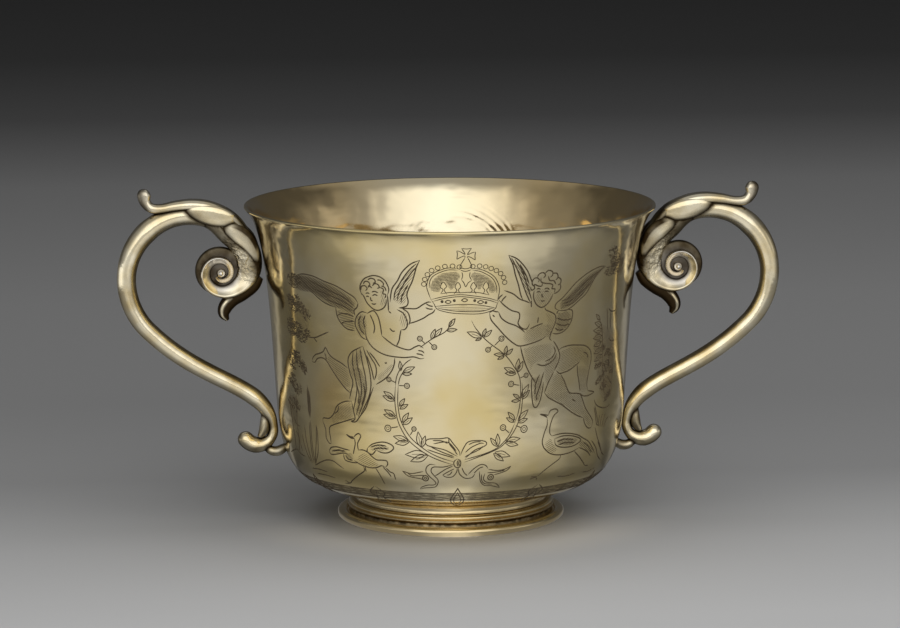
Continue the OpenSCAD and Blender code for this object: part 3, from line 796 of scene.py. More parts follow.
TREES = """
47.6,66.2 48.8,63.6 49.6,60 49.9,56 50.4,52 51.6,47 52.8,42
-72,23 -68.5,24.3 -65,25.1 -62.6,24 -60,23.6
-66,42.6 -66.2,38 -65.4,33 -65,29 -65.6,25.4
-61.4,43 -61.6,38.4 -62.2,34 -61.8,29 -61,25.2
-63.4,31.4 -62.2,29.6 -62.6,27 -63.4,25
-64.4,35.4 -62.6,33.6 -60.6,33.2
-67,47.4 -64,46.2 -61.4,43.6
51,69.6 51.8,65 52.2,62.7
51.8,69.2 54.1,68.1 56.4,68
53.4,68.2 53.6,65 54,62.6
46.8,41.9 48.3,40 51.2,38.8 54.5,38.3 57.4,39
47,39.6 48.2,36.6 49,34 50.2,33.4
47.5,39.9 48.9,36.6 49.8,34
50.4,33 50.2,35 50.6,36.8
51.2,32.8 51.6,35 52.4,36.8
52.4,32.6 53.2,34.8 54.4,36.4
53.4,32.2 54.8,34 56.6,35.2
48.3,33 50.3,29.6 52.8,26.7 55.7,23.3
50.8,28.3 54.5,24.6 57.8,22.5
47,29.2 50.3,26.3 52.8,23.3 56.2,21.3
54,48.3 55.6,46.6 57.4,45.2
53.4,60 55.2,58.8 57.6,58.7
"""
CLUMPS = """
-60.6,72.2 2 1.2 -10 24
-57.6,72.6 2 1.3 10 26
-55.2,70.8 1.8 1.2 -35 24
-52.6,68.6 1.5 1.3 -60 20
-58.6,69.8 1.6 0.9 0 12
-61.4,65 2.4 1.1 8 24
-58.4,63.6 2.6 1.6 0 40
-61.6,63 2.2 1.4 -5 26
-56,61.6 2.4 1.2 -8 30
-53,63 1.2 1 10 10
-60,55.6 2.2 1 0 20
-61.8,54 2.4 1.2 -8 26
-58,53.4 2.4 1.1 -18 28
-55.8,51.6 1.4 1 -40 20
-62.4,51.6 1.6 0.8 -10 12
-63.6,47.6 2.2 1.2 12 18
-61.8,45.4 1.9 1.2 -20 18
-59.8,44.6 1.3 1.4 -50 14
-63.4,39.6 1.7 3 88 30
-57.4,78.8 3 1.5 5 34
50.2,86.8 2.2 1.4 -20 20
52.6,84 2.6 1.5 10 26
50.8,81.4 3 1.2 5 28
55.4,82.6 2.2 1.6 30 20
48,52.2 1.6 0.7 15 16
53,52 1.9 1 -20 20
52.6,55.8 1.5 0.7 20 14
54.8,55.2 1.4 0.9 -30 12
48.9,47.6 1.6 0.7 30 16
52.2,46 2.2 0.9 30 22
54.6,42 1.9 0.8 35 18
51.8,49.6 1.4 0.7 30 12
50,57.2 1.3 0.7 25 12
56.4,49.4 1.4 0.9 -40 12
"""

# %% [markdown]
# The burin is pushed along each line, so a cut swells from nothing and dies away again. A line is
# taken as a smooth path through its points, and a berry, pearl or jewel is a small ring.

# %% One cut
OUTLINE_W = 0.5
DETAIL_W = 0.38
HATCH_W = 0.22
CUT_STEP = 0.45
cuts = []


def lines_of(drawing):
    """The lines of a drawing; an indented line goes on from the one above it."""
    return drawing.strip().replace("\n  ", " ").splitlines()


def pen_points(line):
    """The across,up pairs of one line of a drawing."""
    return np.array([[float(n) for n in pair.split(",")] for pair in line.split()])


def smooth_run(rows, step=CUT_STEP):
    """A smooth path through rows of numbers, at even steps of its first two columns."""
    rows = np.asarray(rows, dtype=float)
    ends = np.vstack([2 * rows[0] - rows[1], rows, 2 * rows[-1] - rows[-2]])
    path = []
    for a, b, c, d in zip(ends, ends[1:], ends[2:], ends[3:]):
        count = max(2, math.ceil(np.linalg.norm((c - b)[:2]) / step))
        t = np.linspace(0, 1, count, endpoint=False)[:, None]
        path.append(0.5 * (2 * b + (c - a) * t + (2 * a - 5 * b + 4 * c - d) * t ** 2
                           + (3 * b - a - 3 * c + d) * t ** 3))
    path.append(rows[-1:])
    return np.vstack(path)


def cut(points, width=OUTLINE_W, taper=True, step=CUT_STEP):
    """Keeps one cut: a smooth path with a width that dies away at both ends."""
    path = smooth_run(points, step)
    share = np.linspace(0, 1, len(path))
    ends = np.minimum(share, 1 - share)
    press = np.clip(0.3 + ends * 7, 0, 1) if taper else np.ones(len(path))
    cuts.append((path, width / 2 * press))


def ring(centre, radius, width=DETAIL_W):
    """A small round cut."""
    turn = np.linspace(0, 2 * math.pi, 9)
    cut(np.asarray(centre) + radius * np.stack([np.cos(turn), np.sin(turn)], axis=1), width, False)


# %% [markdown]
# Wings, cloth and limbs are darkened by hatching: fine parallel cuts that stop at the edge of
# the form, crossed where it is darkest. A leaf is two bowed cuts and a midrib. Foliage is drawn
# as clumps, each a scribble of short cuts about one slant.

# %% Hatching, leaves and foliage
HATCH_STEP = 1.1
SHORTEST_HATCH = 0.5
CLUMP_W = 0.33
CLUMP_FILL = 2.4
chance = np.random.default_rng(5)


def turned_by(slant):
    """A matrix that turns rows of flat points by a slant in degrees."""
    turn = math.radians(slant)
    return np.array([[math.cos(turn), math.sin(turn)], [-math.sin(turn), math.cos(turn)]])


def hatch(form, slant, gap, width):
    """Fine parallel cuts inside a closed outline, at a slant in degrees."""
    flat = smooth_run(pen_points(form + " " + form.split()[0]), 1.0) @ turned_by(-slant)
    low, high = flat[:-1], flat[1:]
    for level in np.arange(flat[:, 1].min() + gap / 2, flat[:, 1].max(), gap):
        crossing = (low[:, 1] - level) * (high[:, 1] - level) < 0
        share = (level - low[crossing, 1]) / (high[crossing, 1] - low[crossing, 1])
        stops = np.sort(low[crossing, 0] + share * (high[crossing, 0] - low[crossing, 0]))
        for start, stop in zip(stops[::2], stops[1::2]):
            if stop - start > SHORTEST_HATCH:
                stroke = np.array([[start, level], [stop, level]])
                cut(stroke @ turned_by(slant), width, True, HATCH_STEP)


def leaf(base, tip, fullness=0.17):
    """Two bowed cuts from base to tip and a short midrib."""
    base, tip = np.asarray(base), np.asarray(tip)
    along = tip - base
    side = fullness * np.array([-along[1], along[0]])
    cut([base, base + 0.45 * along + side, tip], DETAIL_W)
    cut([base, base + 0.45 * along - side, tip], DETAIL_W)
    cut([base + 0.15 * along, base + 0.7 * along], HATCH_W)


def clump(centre, half_length, half_height, slant, strokes):
    """Foliage: short bowed cuts scattered in an oval, all near one slant."""
    for _ in range(int(strokes * CLUMP_FILL)):
        reach, spot = math.sqrt(chance.random()), 2 * math.pi * chance.random()
        at = reach * np.array([1.2 * half_length * math.cos(spot), 1.5 * half_height * math.sin(spot)])
        half = chance.uniform(0.3, 0.7)
        along = half * np.array([math.cos(chance.uniform(-0.7, 0.7)), chance.uniform(-0.6, 0.6)])
        side = chance.uniform(-0.3, 0.3) * np.array([-along[1], along[0]])
        stroke = np.array([at - along, at + side, at + along])
        cut(np.asarray(centre) + stroke @ turned_by(slant), CLUMP_W)


# %% Draw the scene
CROWN_W = 0.31
RIBBON_W = 0.42
BERRY_EYE = 0.45
CURL_ENDS = "-12.4,21.3 8.6,21.4"
CURL_END_R = 0.95
CURL_EYE_R = 0.35
PEARL = (0.68, 0.28)
JEWEL = (0.25, 0.5)
LOZENGE = np.array([[-0.9, 0], [0, 0.5], [0.9, 0], [0, -0.5], [-0.9, 0]])
for drawing, width in ((CROWN, CROWN_W), (LEFT_CHILD, OUTLINE_W), (RIGHT_CHILD, OUTLINE_W),
                       (WREATH, DETAIL_W), (RIBBON, RIBBON_W), (CRANES, OUTLINE_W),
                       (REEDS, OUTLINE_W), (TREES, OUTLINE_W)):
    for line in lines_of(drawing):
        cut(pen_points(line), width)
for line in lines_of(WREATH_LEAVES) + lines_of(FERN_LEAVES):
    leaf(*pen_points(line))
for line in lines_of(WREATH_BERRIES):
    at, size, stalk = line.split()
    ring(pen_points(at)[0], float(size))
    ring(pen_points(at)[0], float(size) * BERRY_EYE, HATCH_W)
    cut(pen_points(stalk + " " + at) * 0.75 + pen_points(stalk) * 0.25, DETAIL_W)
for line in lines_of(CLUMPS):
    at, *shape = line.split()
    clump(pen_points(at)[0], *(float(n) for n in shape))
for curl_end in pen_points(CURL_ENDS):
    ring(curl_end, CURL_END_R, OUTLINE_W)
    ring(curl_end, CURL_EYE_R, DETAIL_W)
for row, (size, width) in ((CROWN_PEARLS_LEFT, PEARL), (CROWN_PEARLS_RIGHT, PEARL),
                           (CROWN_JEWELS, JEWEL)):
    for spot in pen_points(row):
        ring(spot, size, width)
for spot in pen_points(CROWN_LOZENGES):
    cut(spot + LOZENGE, DETAIL_W, False)
print(len(cuts), "cuts drawn by hand")

# %% [markdown]
# Each shaded form is one line: the slant of its hatching, the gap between cuts, their width, and
# then its closed outline. Wide dark cuts close together make the wings, fine ones the skin.

# %% Hatching
SHADES = """
25 .42 .28 -32.8,74.6 -35.4,76.8 -39.4,78.8 -43.5,79.9 -47.7,80.9 -51.8,81.1 -56,80.8 -60,78.4 -56,76
  -49,75.8 -44,73.6 -40,72.4 -36,71.2 -33.6,71
-50 .6 .22 -33.6,75 -36,76.8 -40,78.6 -46,80.4 -55,80.8 -59,78 -54,76.2 -48,75.6 -42,73.2 -38,72
80 .45 .28 -40,77 -46,79.4 -54,80.6 -58,78.8 -50,76 -43,74.4
15 .5 .22 -33.6,70.4 -39.4,71.6 -38.8,68 -36.4,66.6 -33.6,66.4
-50 .42 .2 -33.8,56 -31.6,53 -30,48 -31.4,43 -33.8,39.6 -34.6,43 -33,48 -34.4,52
-62 .5 .18 -36.2,56.4 -34,58.4 -32,60.6 -31.4,58 -33,54.6 -35,50.6 -36,53
60 .42 .2 -32.6,70 -30.8,71.2 -29.6,69 -29.9,65.4 -31.6,64.8 -32.8,67
30 .48 .15 -45,55.7 -43.1,53.4 -40.6,50.5 -38.1,48 -36.4,46.8 -36.2,49 -36.7,53.6 -38.4,54.6 -41.4,55.9
  -43.6,57.2
-20 .48 .15 -36.2,43.8 -38.5,43.4 -40.6,42.5 -42,41.2 -43,39.4 -44.6,37.7 -43,36.4 -40.6,37.3
  -37.7,38.3 -35.8,39.1
-40 .45 .18 -26.4,50.8 -24.3,52.2 -22.4,54.4 -21.4,56.4 -22.6,56.2 -24.4,54.4 -26.6,52.8
70 .5 .16 -24.6,79 -23.3,77.4 -23.1,75.4 -24.2,73.8 -25,74.6 -24.5,76.8
75 .55 .15 -18,73.2 -16.9,72 -16.6,69.4 -18,67.6 -19.2,69.6
50 .5 .18 -21,76 -19,80.6 -15,86.2 -14.4,84.6 -16.4,79.6 -17,76 -18.6,74.6
-30 .4 .28 29.6,73.8 33,76.6 38,80.4 44,82.6 47,82.8 43,79.8 40.6,77 37,74.2 33,72 30,71.8
40 .6 .22 31,74.2 36,78 41,81 45,82.2 42,79 38,75.4 33,72.6
15 .42 .24 28.8,70.4 32.6,70.9 34.3,69.4 33.8,67 31.6,65.2 28.8,64.9 28.6,67.4
-55 .45 .22 13,87.6 16,85.6 18.6,81.4 19.4,78 18.6,77.2 17,80.6 14.6,85
70 .4 .2 21.4,51.6 24.4,51.4 24,46 22.4,43.4 21.6,46
55 .5 .18 24.8,55.2 29.4,58.2 30,55.4 28.4,52.8 26.4,49.2 25.6,50.6
15 .48 .15 30.6,58.6 34.5,59.7 38,59.4 41,58.6 43,57 43.6,55 42.8,52.4 39.2,54.9 37,54 34.7,52.9
  31,52.5 29.9,53.4
75 .48 .15 38.2,53.4 43.1,52.2 42.5,48 42.9,45.5 39.9,45.4 38.8,49.6
-35 .48 .15 31.2,51.4 33,49 35.4,45.3 38.2,44.8 40,44 42,40.2 45,36.8 46.2,34.6 44.4,34 42,37 37,39.5
  32,42.6 27.2,45.3 26.2,46.8 28.8,52.2
60 .55 .12 21,77 21,75 22.4,73.6 23.4,73.2 24.8,74 26.2,75.4 26.6,76.8 25.6,78.4 23,78.6
35 .5 .14 18.6,66.4 21.6,67 25,67.8 27.6,66.6 26.4,64 22,62.9 18.6,62.4 17.6,64.4
60 .55 .14 24.6,71.6 28,69.8 28,67.6 27,65 26.2,63.4 25,64.4 25.4,68
30 .5 .14 17.8,60.6 22,61.4 26.6,61.6 28,60.4 27.2,57.4 24.8,56.6 21.6,55.8 20.4,54 18.8,57
80 .34 .18 -2.6,85.2 -6.6,84.6 -9.2,82.4 -9.8,79.4 -7.2,79 -6.2,82.2 -4,79.4 -2.2,82.2 -1.4,84
100 .34 .18 2.4,85 5.6,83.9 8,81.6 8.8,78.8 7,78.6 5.9,82 4,79.2 2.4,82 1.5,84
5 .45 .16 -2.6,85.2 -6.6,84.6 -9.2,82.4 -9.8,79.4 -7.2,79 -6.2,82.2 -4,79.4 -2.2,82.2 -1.4,84
-5 .45 .16 2.4,85 5.6,83.9 8,81.6 8.8,78.8 7,78.6 5.9,82 4,79.2 2.4,82 1.5,84
0 .5 .15 -8.6,74 -4.4,74.4 0,74.6 4.7,74.2 8.4,73.7 4.7,72.9 0,72.9 -4.4,73.3
90 .28 .32 -54.8,47 -53.6,44 -53.6,38.6 -54.3,36.4 -55.1,38.6 -55.2,44
20 .4 .22 -40,27 -37.4,28 -36.6,26.6 -37.4,25.4 -39.6,25.8
12 .42 .2 -45.6,27.4 -43,28.7 -39,28.5 -40.6,27.3
-20 .42 .2 -30.6,29.8 -27,31.6 -23.6,31 -24.6,29.8 -28,29.2
30 .55 .18 -35.6,26 -33,28.4 -30,27.2 -27.6,25 -31,24.1 -34,24.7
10 .4 .24 31,31.2 35,31.8 40,30.6 37,29.2 32,29.8
-30 .5 .2 26.2,31 28.4,32.4 29.6,30.4 31.4,28.4 30,27.4 27.2,29
-35 .5 .22 40.6,30.6 45,28.6 49.4,25 47,25.2 43.6,27.2 41,28.4
85 .55 .2 -65.8,42 -61.8,42.4 -62.4,34 -65.2,33
65 .5 .24 45.4,63 50,64.4 57,60 58,46 56.4,41 50.6,42 47.4,50 45.2,56
80 .5 .2 50.6,88 53.4,87.4 58,84 58,79 53,79.4 50.2,80.6
70 .6 .17 -62,73.6 -55.6,73.6 -52,69.6 -52.6,62 -55,60.4 -62,61.4
"""
for line in lines_of(SHADES):
    slant, gap, width, form = line.split(" ", 3)
    hatch(form, float(slant), float(gap), float(width))
print(len(cuts), "cuts with hatching")

# %% [markdown]
# The border under the scene is a band hatched along its length between two lines, with lozenges
# and scrolls set over it in turn, evenly round the bowl.

# %% Border
BORDER_PARTS = 6
BORDER_AT = -2
BORDER_W = 0.36
ROW_GAP = 0.46
STROKE_GAP = 7.2
STROKE = 6.6
BIG_LOZENGE = np.array([[0, 17.6], [2.4, 11.5], [0, 5.2], [-2.4, 11.5], [0, 17.6]])
SMALL_LOZENGE = np.array([[0, 15.8], [1.3, 11.5], [0, 7.4], [-1.3, 11.5], [0, 15.8]])
SCROLL = np.array([[0.3, 17], [2.8, 14.4], [1.4, 11.6], [2.6, 8.4], [0.4, 6.2]])
girth = 2 * math.pi * UNROLL_R
belt = np.linspace(-girth / 2, girth / 2, 181)
for level in (BORDER_TOP, BORDER_LOW):
    cut(np.stack([belt, np.full_like(belt, level)], axis=1), DETAIL_W, False)
for level in np.arange(BORDER_LOW + 0.5, BORDER_TOP, ROW_GAP):
    for start in np.arange(-girth / 2, girth / 2, STROKE_GAP):
        from_here = start + 2.1 * math.sin(level * 5 + start)
        cut([[from_here, level], [from_here + STROKE, level]], BORDER_W, True, HATCH_STEP)
for part in range(BORDER_PARTS):
    middle = BORDER_AT + part * girth / BORDER_PARTS
    cut(BIG_LOZENGE + [middle, 0], OUTLINE_W, False)
    cut(SMALL_LOZENGE + [middle, 0], DETAIL_W, False)
    between = middle + girth / BORDER_PARTS / 2
    for hand in (-1, 1):
        cut(SCROLL * [hand, 1] + [between, 0], OUTLINE_W)
    leaf((between, 7), (between, 15.6), 0.13)
print(len(cuts), "cuts with the border")

# %% [markdown]
# The inside of the back wall shows, faintly, that the same wreath is cut on the back. So the
# wreath, its leaves and its ribbon are repeated half a turn round.

# %% The wreath again at the back
front_cuts = len(cuts)
to_back = [girth / 2, 0]
for line in lines_of(WREATH) + lines_of(RIBBON):
    cut(pen_points(line) + to_back)
for line in lines_of(WREATH_LEAVES):
    leaf(*(pen_points(line) + to_back))
for line in lines_of(WREATH_BERRIES):
    at, size, _ = line.split()
    ring(pen_points(at)[0] + to_back, float(size))
print(len(cuts) - front_cuts, "cuts on the back")

# %% [markdown]
# Geometry Nodes carry the flat drawing onto the bowl. Each cut is a curve; a small triangle is
# swept along it, as wide as the burin pressed; and every point is then moved from the flat
# sheet to the wall: up along the bowl's own outline, and across as an angle about the axis.
# The cuts become one dark piece, one to three hundredths of a millimetre proud of the wall.

# %% A flat mesh of the cuts
flat_points = []
flat_edges = []
half_widths = []
for path, press in cuts:
    first = len(flat_points)
    flat_points.extend((u * MM, v * MM, 0) for u, v in path)
    flat_edges.extend((first + i, first + i + 1) for i in range(len(path) - 1))
    half_widths.extend(press * MM)
flat_mesh = bpy.data.meshes.new("flat_cuts")
flat_mesh.from_pydata(flat_points, flat_edges, [])
drawing_sheet = add_object("flat_cuts", flat_mesh)
set_attribute(drawing_sheet, "half_width", half_widths)
guide_curve = bpy.data.curves.new("bowl_outline", "CURVE")
guide_curve.dimensions = "3D"
spline = guide_curve.splines.new("POLY")
spline.points.add(len(outline) - 1)
for point, (r, z) in zip(spline.points, outline):
    point.co = (r * MM, 0, z * MM, 1)
guide = add_object("bowl_outline", guide_curve)
print(len(flat_points), "points in the flat drawing")

# %% [markdown]
# What shows in a cut is not metal but polish residue packed into it, and the shade down in the V
# of the cut, painted together as one matt brown, paler where the residue has worn out.

# %% Residue in the cuts
# Residue and the shade in the cut, painted as one dark brown
CUT_RESIDUE_AND_SHADE = "#3E3424"
CUT_WORN = "#5E4F36"
CUT_WEAR_SIZE = 5
cut_residue_and_shade, tree, shader, place = new_material("residue_and_shade_in_burin_cuts")
shader.inputs["Roughness"].default_value = 0.6
wear = add(tree, "TexNoise", {"Scale": 1 / (CUT_WEAR_SIZE * MM), "Detail": 3}, {"Vector": place})
link(tree, tinted(tree, CUT_RESIDUE_AND_SHADE, (wear, CUT_WORN)), shader.inputs["Base Color"])

# %% The burin, swept along each cut
wrap = bpy.data.node_groups.new("wrap_cuts_round_bowl", "GeometryNodeTree")
for socket, kind in (("Drawing", "Geometry"), ("Outline", "Object"), ("Unrolled radius", "Float"),
                     ("Datum height", "Float"), ("Datum length", "Float"), ("Residue_and_shade", "Material")):
    wrap.interface.new_socket(socket, in_out="INPUT", socket_type="NodeSocket" + kind)
wrap.interface.new_socket("Cuts", in_out="OUTPUT", socket_type="NodeSocketGeometry")
given = add(wrap, "NodeGroupInput").outputs
press = add(wrap, "GeometryNodeInputNamedAttribute", {"data_type": "FLOAT", "Name": "half_width"})
line = add(wrap, "GeometryNodeMeshToCurve", None, {"Mesh": given["Drawing"]})
level = add(wrap, "GeometryNodeSetCurveNormal", {"mode": "Z_UP"}, {"Curve": line})
# The burin: a triangle one unit to each side, a tenth above the wall and the rest below it
burin = add(wrap, "GeometryNodeCurvePrimitiveCircle", {"Resolution": 3, "Radius": 1.0})
burin_turned = add(wrap, "GeometryNodeTransform",
                   {"Rotation": (0, 0, math.radians(-90)), "Translation": (0, -0.2, 0)},
                   {"Geometry": burin})
burin_shaped = add(wrap, "GeometryNodeTransform", {"Scale": (1.155, 0.4, 1)}, {"Geometry": burin_turned})
carved = add(wrap, "GeometryNodeCurveToMesh", {"Fill Caps": True},
             {"Curve": level, "Profile Curve": burin_shaped, "Scale": press})

# %% From the flat sheet to the wall
flat = add(wrap, "SeparateXYZ", None, {0: add(wrap, "GeometryNodeInputPosition")}).outputs
drop = add(wrap, "Math", {"operation": "SUBTRACT"}, {0: given["Datum height"], 1: flat["Y"]})
length = add(wrap, "Math", {"operation": "ADD"}, {0: drop, 1: given["Datum length"]})
outline_info = add(wrap, "GeometryNodeObjectInfo", None, {"Object": given["Outline"]})
on_wall = add(wrap, "GeometryNodeSampleCurve", {"mode": "LENGTH", "use_all_curves": True},
              {"Curves": outline_info.outputs["Geometry"], "Length": length})
spot = add(wrap, "SeparateXYZ", None, {0: on_wall.outputs["Position"]}).outputs
lean = add(wrap, "SeparateXYZ", None, {0: on_wall.outputs["Tangent"]}).outputs
rise_out = add(wrap, "Math", {"operation": "MULTIPLY"}, {0: flat["Z"], 1: lean["Z"]})
radius_at = add(wrap, "Math", {"operation": "SUBTRACT"}, {0: spot["X"], 1: rise_out})
height_at = add(wrap, "Math", {"operation": "MULTIPLY_ADD"}, {0: flat["Z"], 1: lean["X"], 2: spot["Z"]})
turn = add(wrap, "Math", {"operation": "DIVIDE"}, {0: flat["X"], 1: given["Unrolled radius"]})
sine = add(wrap, "Math", {"operation": "SINE"}, {0: turn})
cosine = add(wrap, "Math", {"operation": "COSINE"}, {0: turn})
east = add(wrap, "Math", {"operation": "MULTIPLY"}, {0: radius_at, 1: sine})
north = add(wrap, "Math", {"operation": "MULTIPLY"}, {0: radius_at, 1: cosine})
south = add(wrap, "Math", {"operation": "MULTIPLY", 1: -1.0}, {0: north})
wrapped = add(wrap, "CombineXYZ", None, {"X": east, "Y": south, "Z": height_at})
moved = add(wrap, "GeometryNodeSetPosition", None, {"Geometry": carved, "Position": wrapped})
real = add(wrap, "GeometryNodeRealizeInstances", None, {"Geometry": moved})
filled = add(wrap, "GeometryNodeSetMaterial", None, {"Geometry": real, "Material": given["Residue_and_shade"]})
add(wrap, "NodeGroupOutput", None, {"Cuts": filled})


# %% Wrap the cuts and keep a plain mesh
def grown(carrier, tree, name, values):
    """The plain mesh that a node tree makes on a carrier object, as a piece of its own."""
    modifier = carrier.modifiers.new(name, "NODES")
    modifier.node_group = tree
    for socket in tree.interface.items_tree:
        if socket.in_out == "INPUT" and socket.name in values:
            modifier[socket.identifier] = values[socket.name]
    bpy.context.view_layer.update()
    ready = carrier.evaluated_get(bpy.context.evaluated_depsgraph_get())
    mesh = bpy.data.meshes.new_from_object(ready)
    bpy.data.objects.remove(carrier)
    return add_object(name, mesh)


engraving = grown(drawing_sheet, wrap, "engraved_cuts",
                  {"Outline": guide, "Unrolled radius": UNROLL_R * MM, "Datum height": DATUM_Z * MM,
                   "Datum length": datum_run * MM, "Residue_and_shade": cut_residue_and_shade})
bpy.data.objects.remove(guide)
print("engraving reaches radius", max(math.hypot(v.co.x, v.co.y) for v in engraving.data.vertices) / MM)
fit(engraving, "gilt_sheet")

# %% [markdown]
# ## The foot
# A low collet of sheet is soldered under the bowl, with a half-round wire for a reed and a
# heavier moulded wire for the rim: a roll that stands on the table, a groove painted near black
# with residue and shade, and a small bead above it. Each is a closed outline spun about the axis.

# %% Outlines of the foot
COLLET_R = 29.8
COLLET_WALL = 1.2
NECK_Z = 6.2
NECK_PULLS = ((29.3, 7.2), (29.6, 8.6))
NECK_R = 31.2
RIM_H = 4.1
REED_W = 1.7
SEAT_R = COLLET_R - 0.6
ROLL_AT = np.array([COLLET_R + 3.72, 1.47])
ROLL_R = np.array([1.52, 1.47])
BEAD_AT = np.array([COLLET_R + 1.6, 4.15])
BEAD_R = 0.5
GROOVE = [(COLLET_R + 1.9, 1.6), (COLLET_R + 1.6, 2.5), (COLLET_R + 1.5, 3.2)]
skirt = np.vstack([[(COLLET_R, 0.3)],
                   cubic((COLLET_R, NECK_Z), *NECK_PULLS, (NECK_R, FLOOR_Z), 14)])
skirt_back = (skirt + COLLET_WALL * left_normals(skirt))[::-1]
skirt_back[0, 1] = FLOOR_Z
reed_at = np.array([COLLET_R, (RIM_H + NECK_Z) / 2])
reed_r = np.array([REED_W, (NECK_Z - RIM_H) / 2])
reed = [reed_at + reed_r * bearing(a) for a in np.linspace(-90, 90, 17)]
roll = [ROLL_AT + ROLL_R * bearing(a) for a in np.linspace(-80, 168, 40)]
bead = [BEAD_AT + BEAD_R * bearing(a) for a in np.linspace(-70, 80, 16)]
FOOT = {"collet_sheet": ("foot_collet", [*skirt, *skirt_back]),
        "reed_wire": ("foot_reed", [(SEAT_R, NECK_Z), (SEAT_R, RIM_H), *reed]),
        "rim_wire": ("foot_rim", [(SEAT_R, 0), *roll, *GROOVE, *bead, (SEAT_R, BEAD_AT[1] + BEAD_R)])}

# %% Foot pieces
FOOT_STEPS = 192
GROOVE_AT = (COLLET_R + 1.6, 3.1)
GROOVE_REACH = 0.55
# Painted near black in the groove: residue with painted shade; the seams are dark joints
GROOVE_SHADE_AND_RESIDUE = 0.97
SEAM_REACH = 0.5
SEAM_BROWN = 0.42
FOOT_GOLD = 0.5
FOOT_AMBER = 0.42
for name, (node, shape) in FOOT.items():
    points, faces = spin(shape, FOOT_STEPS)
    foot_ring = make_piece(name, points, faces, gilt_sheet, crease=35)
    x, y, z = np.array(points).T
    seam_gap = np.minimum(abs(z - RIM_H - 0.1), abs(z - NECK_Z)) / SEAM_REACH
    groove_gap = np.hypot(np.hypot(x, y) - GROOVE_AT[0], z - GROOVE_AT[1])
    in_groove = np.clip(1.7 - groove_gap / GROOVE_REACH, 0, GROOVE_SHADE_AND_RESIDUE) * (node == "foot_rim")
    set_attribute(foot_ring, "shade_and_residue", np.maximum(np.clip(0.9 - seam_gap, 0, SEAM_BROWN), in_groove))
    set_attribute(foot_ring, "inside", np.full(len(points), FOOT_GOLD))
    set_attribute(foot_ring, "amber", np.full(len(points), FOOT_AMBER))
    fit(foot_ring, "gilt_sheet", node)

# %% [markdown]
# ## The handles
# Each handle is one casting that reads as several forms: a round scroll stem, a snail-like
# volute against the wall, a calyx of petals, a long leaf over the bow, and small leaves at the
# heel. All lie in one upright plane, so each is drawn as stations along a path: out from the
# wall, up from its seat, half thickness in the plane, half width across it.

# %% Sweep a form along its stations
SEAT_DROP = 20.4
HEEL_Z = 29.3
upper = np.array([wall_r(RIM_Z - SEAT_DROP), RIM_Z - SEAT_DROP])
lower = np.array([wall_r(HEEL_Z), HEEL_Z])


def swept(rows, sides, across=0.0, round_share=1.0, other=None, other_share=None):
    """Points and faces of a form drawn as stations: out, up, half thickness, half width. A round
    share under 1 squares the section's shoulders. Other is a second section, taken by its share."""
    rows = np.asarray(rows)
    normal = left_normals(rows[:, :2])
    turn = np.linspace(0, 2 * math.pi, sides, endpoint=False)
    section = np.array([np.sign(share) * abs(share) ** round_share
                        for share in (np.sin(turn), np.cos(turn))])
    shares = np.zeros(len(rows)) if other is None else other_share
    target = section if other is None else np.array(other)
    points = []
    for (x, z, thick, width), (nx, nz), share in zip(rows, normal, shares):
        lift, spread = section * (1 - share) + target * share
        points.extend(zip(x + nx * thick * lift, across + width * spread, z + nz * thick * lift))
    faces = []
    for ring_at in range(len(rows) - 1):
        for i in range(sides):
            j = (i + 1) % sides
            a, b = ring_at * sides, (ring_at + 1) * sides
            faces.append((a + i, b + i, b + j, a + j))
    for ring_at, order in ((0, 1), (len(rows) - 1, -1)):
        centre = len(points)
        points.append((rows[ring_at, 0], across, rows[ring_at, 1]))
        a = ring_at * sides
        for i in range(sides):
            corner = (centre, a + i, a + (i + 1) % sides)
            faces.append(corner[::order])
    return points, faces


# %% Stem
STEM_D = 5.9
REACH = 45.4
BOW_R = 22.4
BOW_TIGHTER = 2.2
BOW_FROM = 98
BOW_TO = -45
SWEEP_BEARING = 225
SWEEP_PULL = 24.9
HEEL_PULL = (2.63, 14.34)
CURL_R = 4.8
CURL_FROM = 171
CURL_TO = 322
KNOB_R = 2.5
FLOW_STEP = 0.35
# Half thickness at points of the path, in shares of the stem and then of the knob
STEM_AT = [0, 6, 9, 15, 23, 33, 35, 37, 40]
STEM_HALF = [0.51, 0.53, 0.57, 0.5, 0.475, 0.455, 0.38, 0.25, 0.27]
KNOB_AT = [42, 44, 47]
KNOB_HALF = [0.83, 1, 1]
bow_at = upper + [REACH - STEM_D / 2 - BOW_R, -2]
curl_at = lower + [CURL_R + 1.8, -1.5]


def bow(degrees):
    """A point on the bow, which tightens towards its top."""
    return bow_at + (BOW_R - BOW_TIGHTER * (max(degrees, 0) / 80) ** 2) * bearing(degrees)


heel = curl_at + CURL_R * bearing(CURL_FROM)
bow_end = bow(BOW_TO)
bow_run = np.array([bow(a) for a in np.linspace(BOW_FROM, BOW_TO, 24)])
sweep_run = cubic(bow_end, bow_end + SWEEP_PULL * bearing(SWEEP_BEARING), heel + HEEL_PULL, heel, 14)
curl_run = np.array([curl_at + CURL_R * bearing(a) for a in np.linspace(CURL_FROM, CURL_TO, 11)])
stem_path = np.vstack([bow_run, sweep_run[1:], curl_run[1:]])
stem_girth = np.interp(np.arange(len(stem_path)), STEM_AT + KNOB_AT,
                       [STEM_D * half for half in STEM_HALF] + [KNOB_R * half for half in KNOB_HALF])
dome = [(*(stem_path[-1] + KNOB_R * bearing(a)[1] * bearing(CURL_TO + 90)),
         *[KNOB_R * bearing(a)[0]] * 2) for a in (25, 50, 75, 86)]
stem_stations = np.column_stack([stem_path, stem_girth, stem_girth])
stem_rows = smooth_run(np.vstack([stem_stations, dome]), FLOW_STEP)
print("stem stations", len(stem_rows))

# %% [markdown]
# The snail is the show piece of the casting. Its band is not round: seen in section it rises
# gently from its inner edge to a crest near its outer edge and then drops steeply, so each turn
# stands like a step above the next. The section changes from a plain oval at the shoulder to
# that stepped form as the band winds in. Behind the band lies a drum, thinner towards its edge.

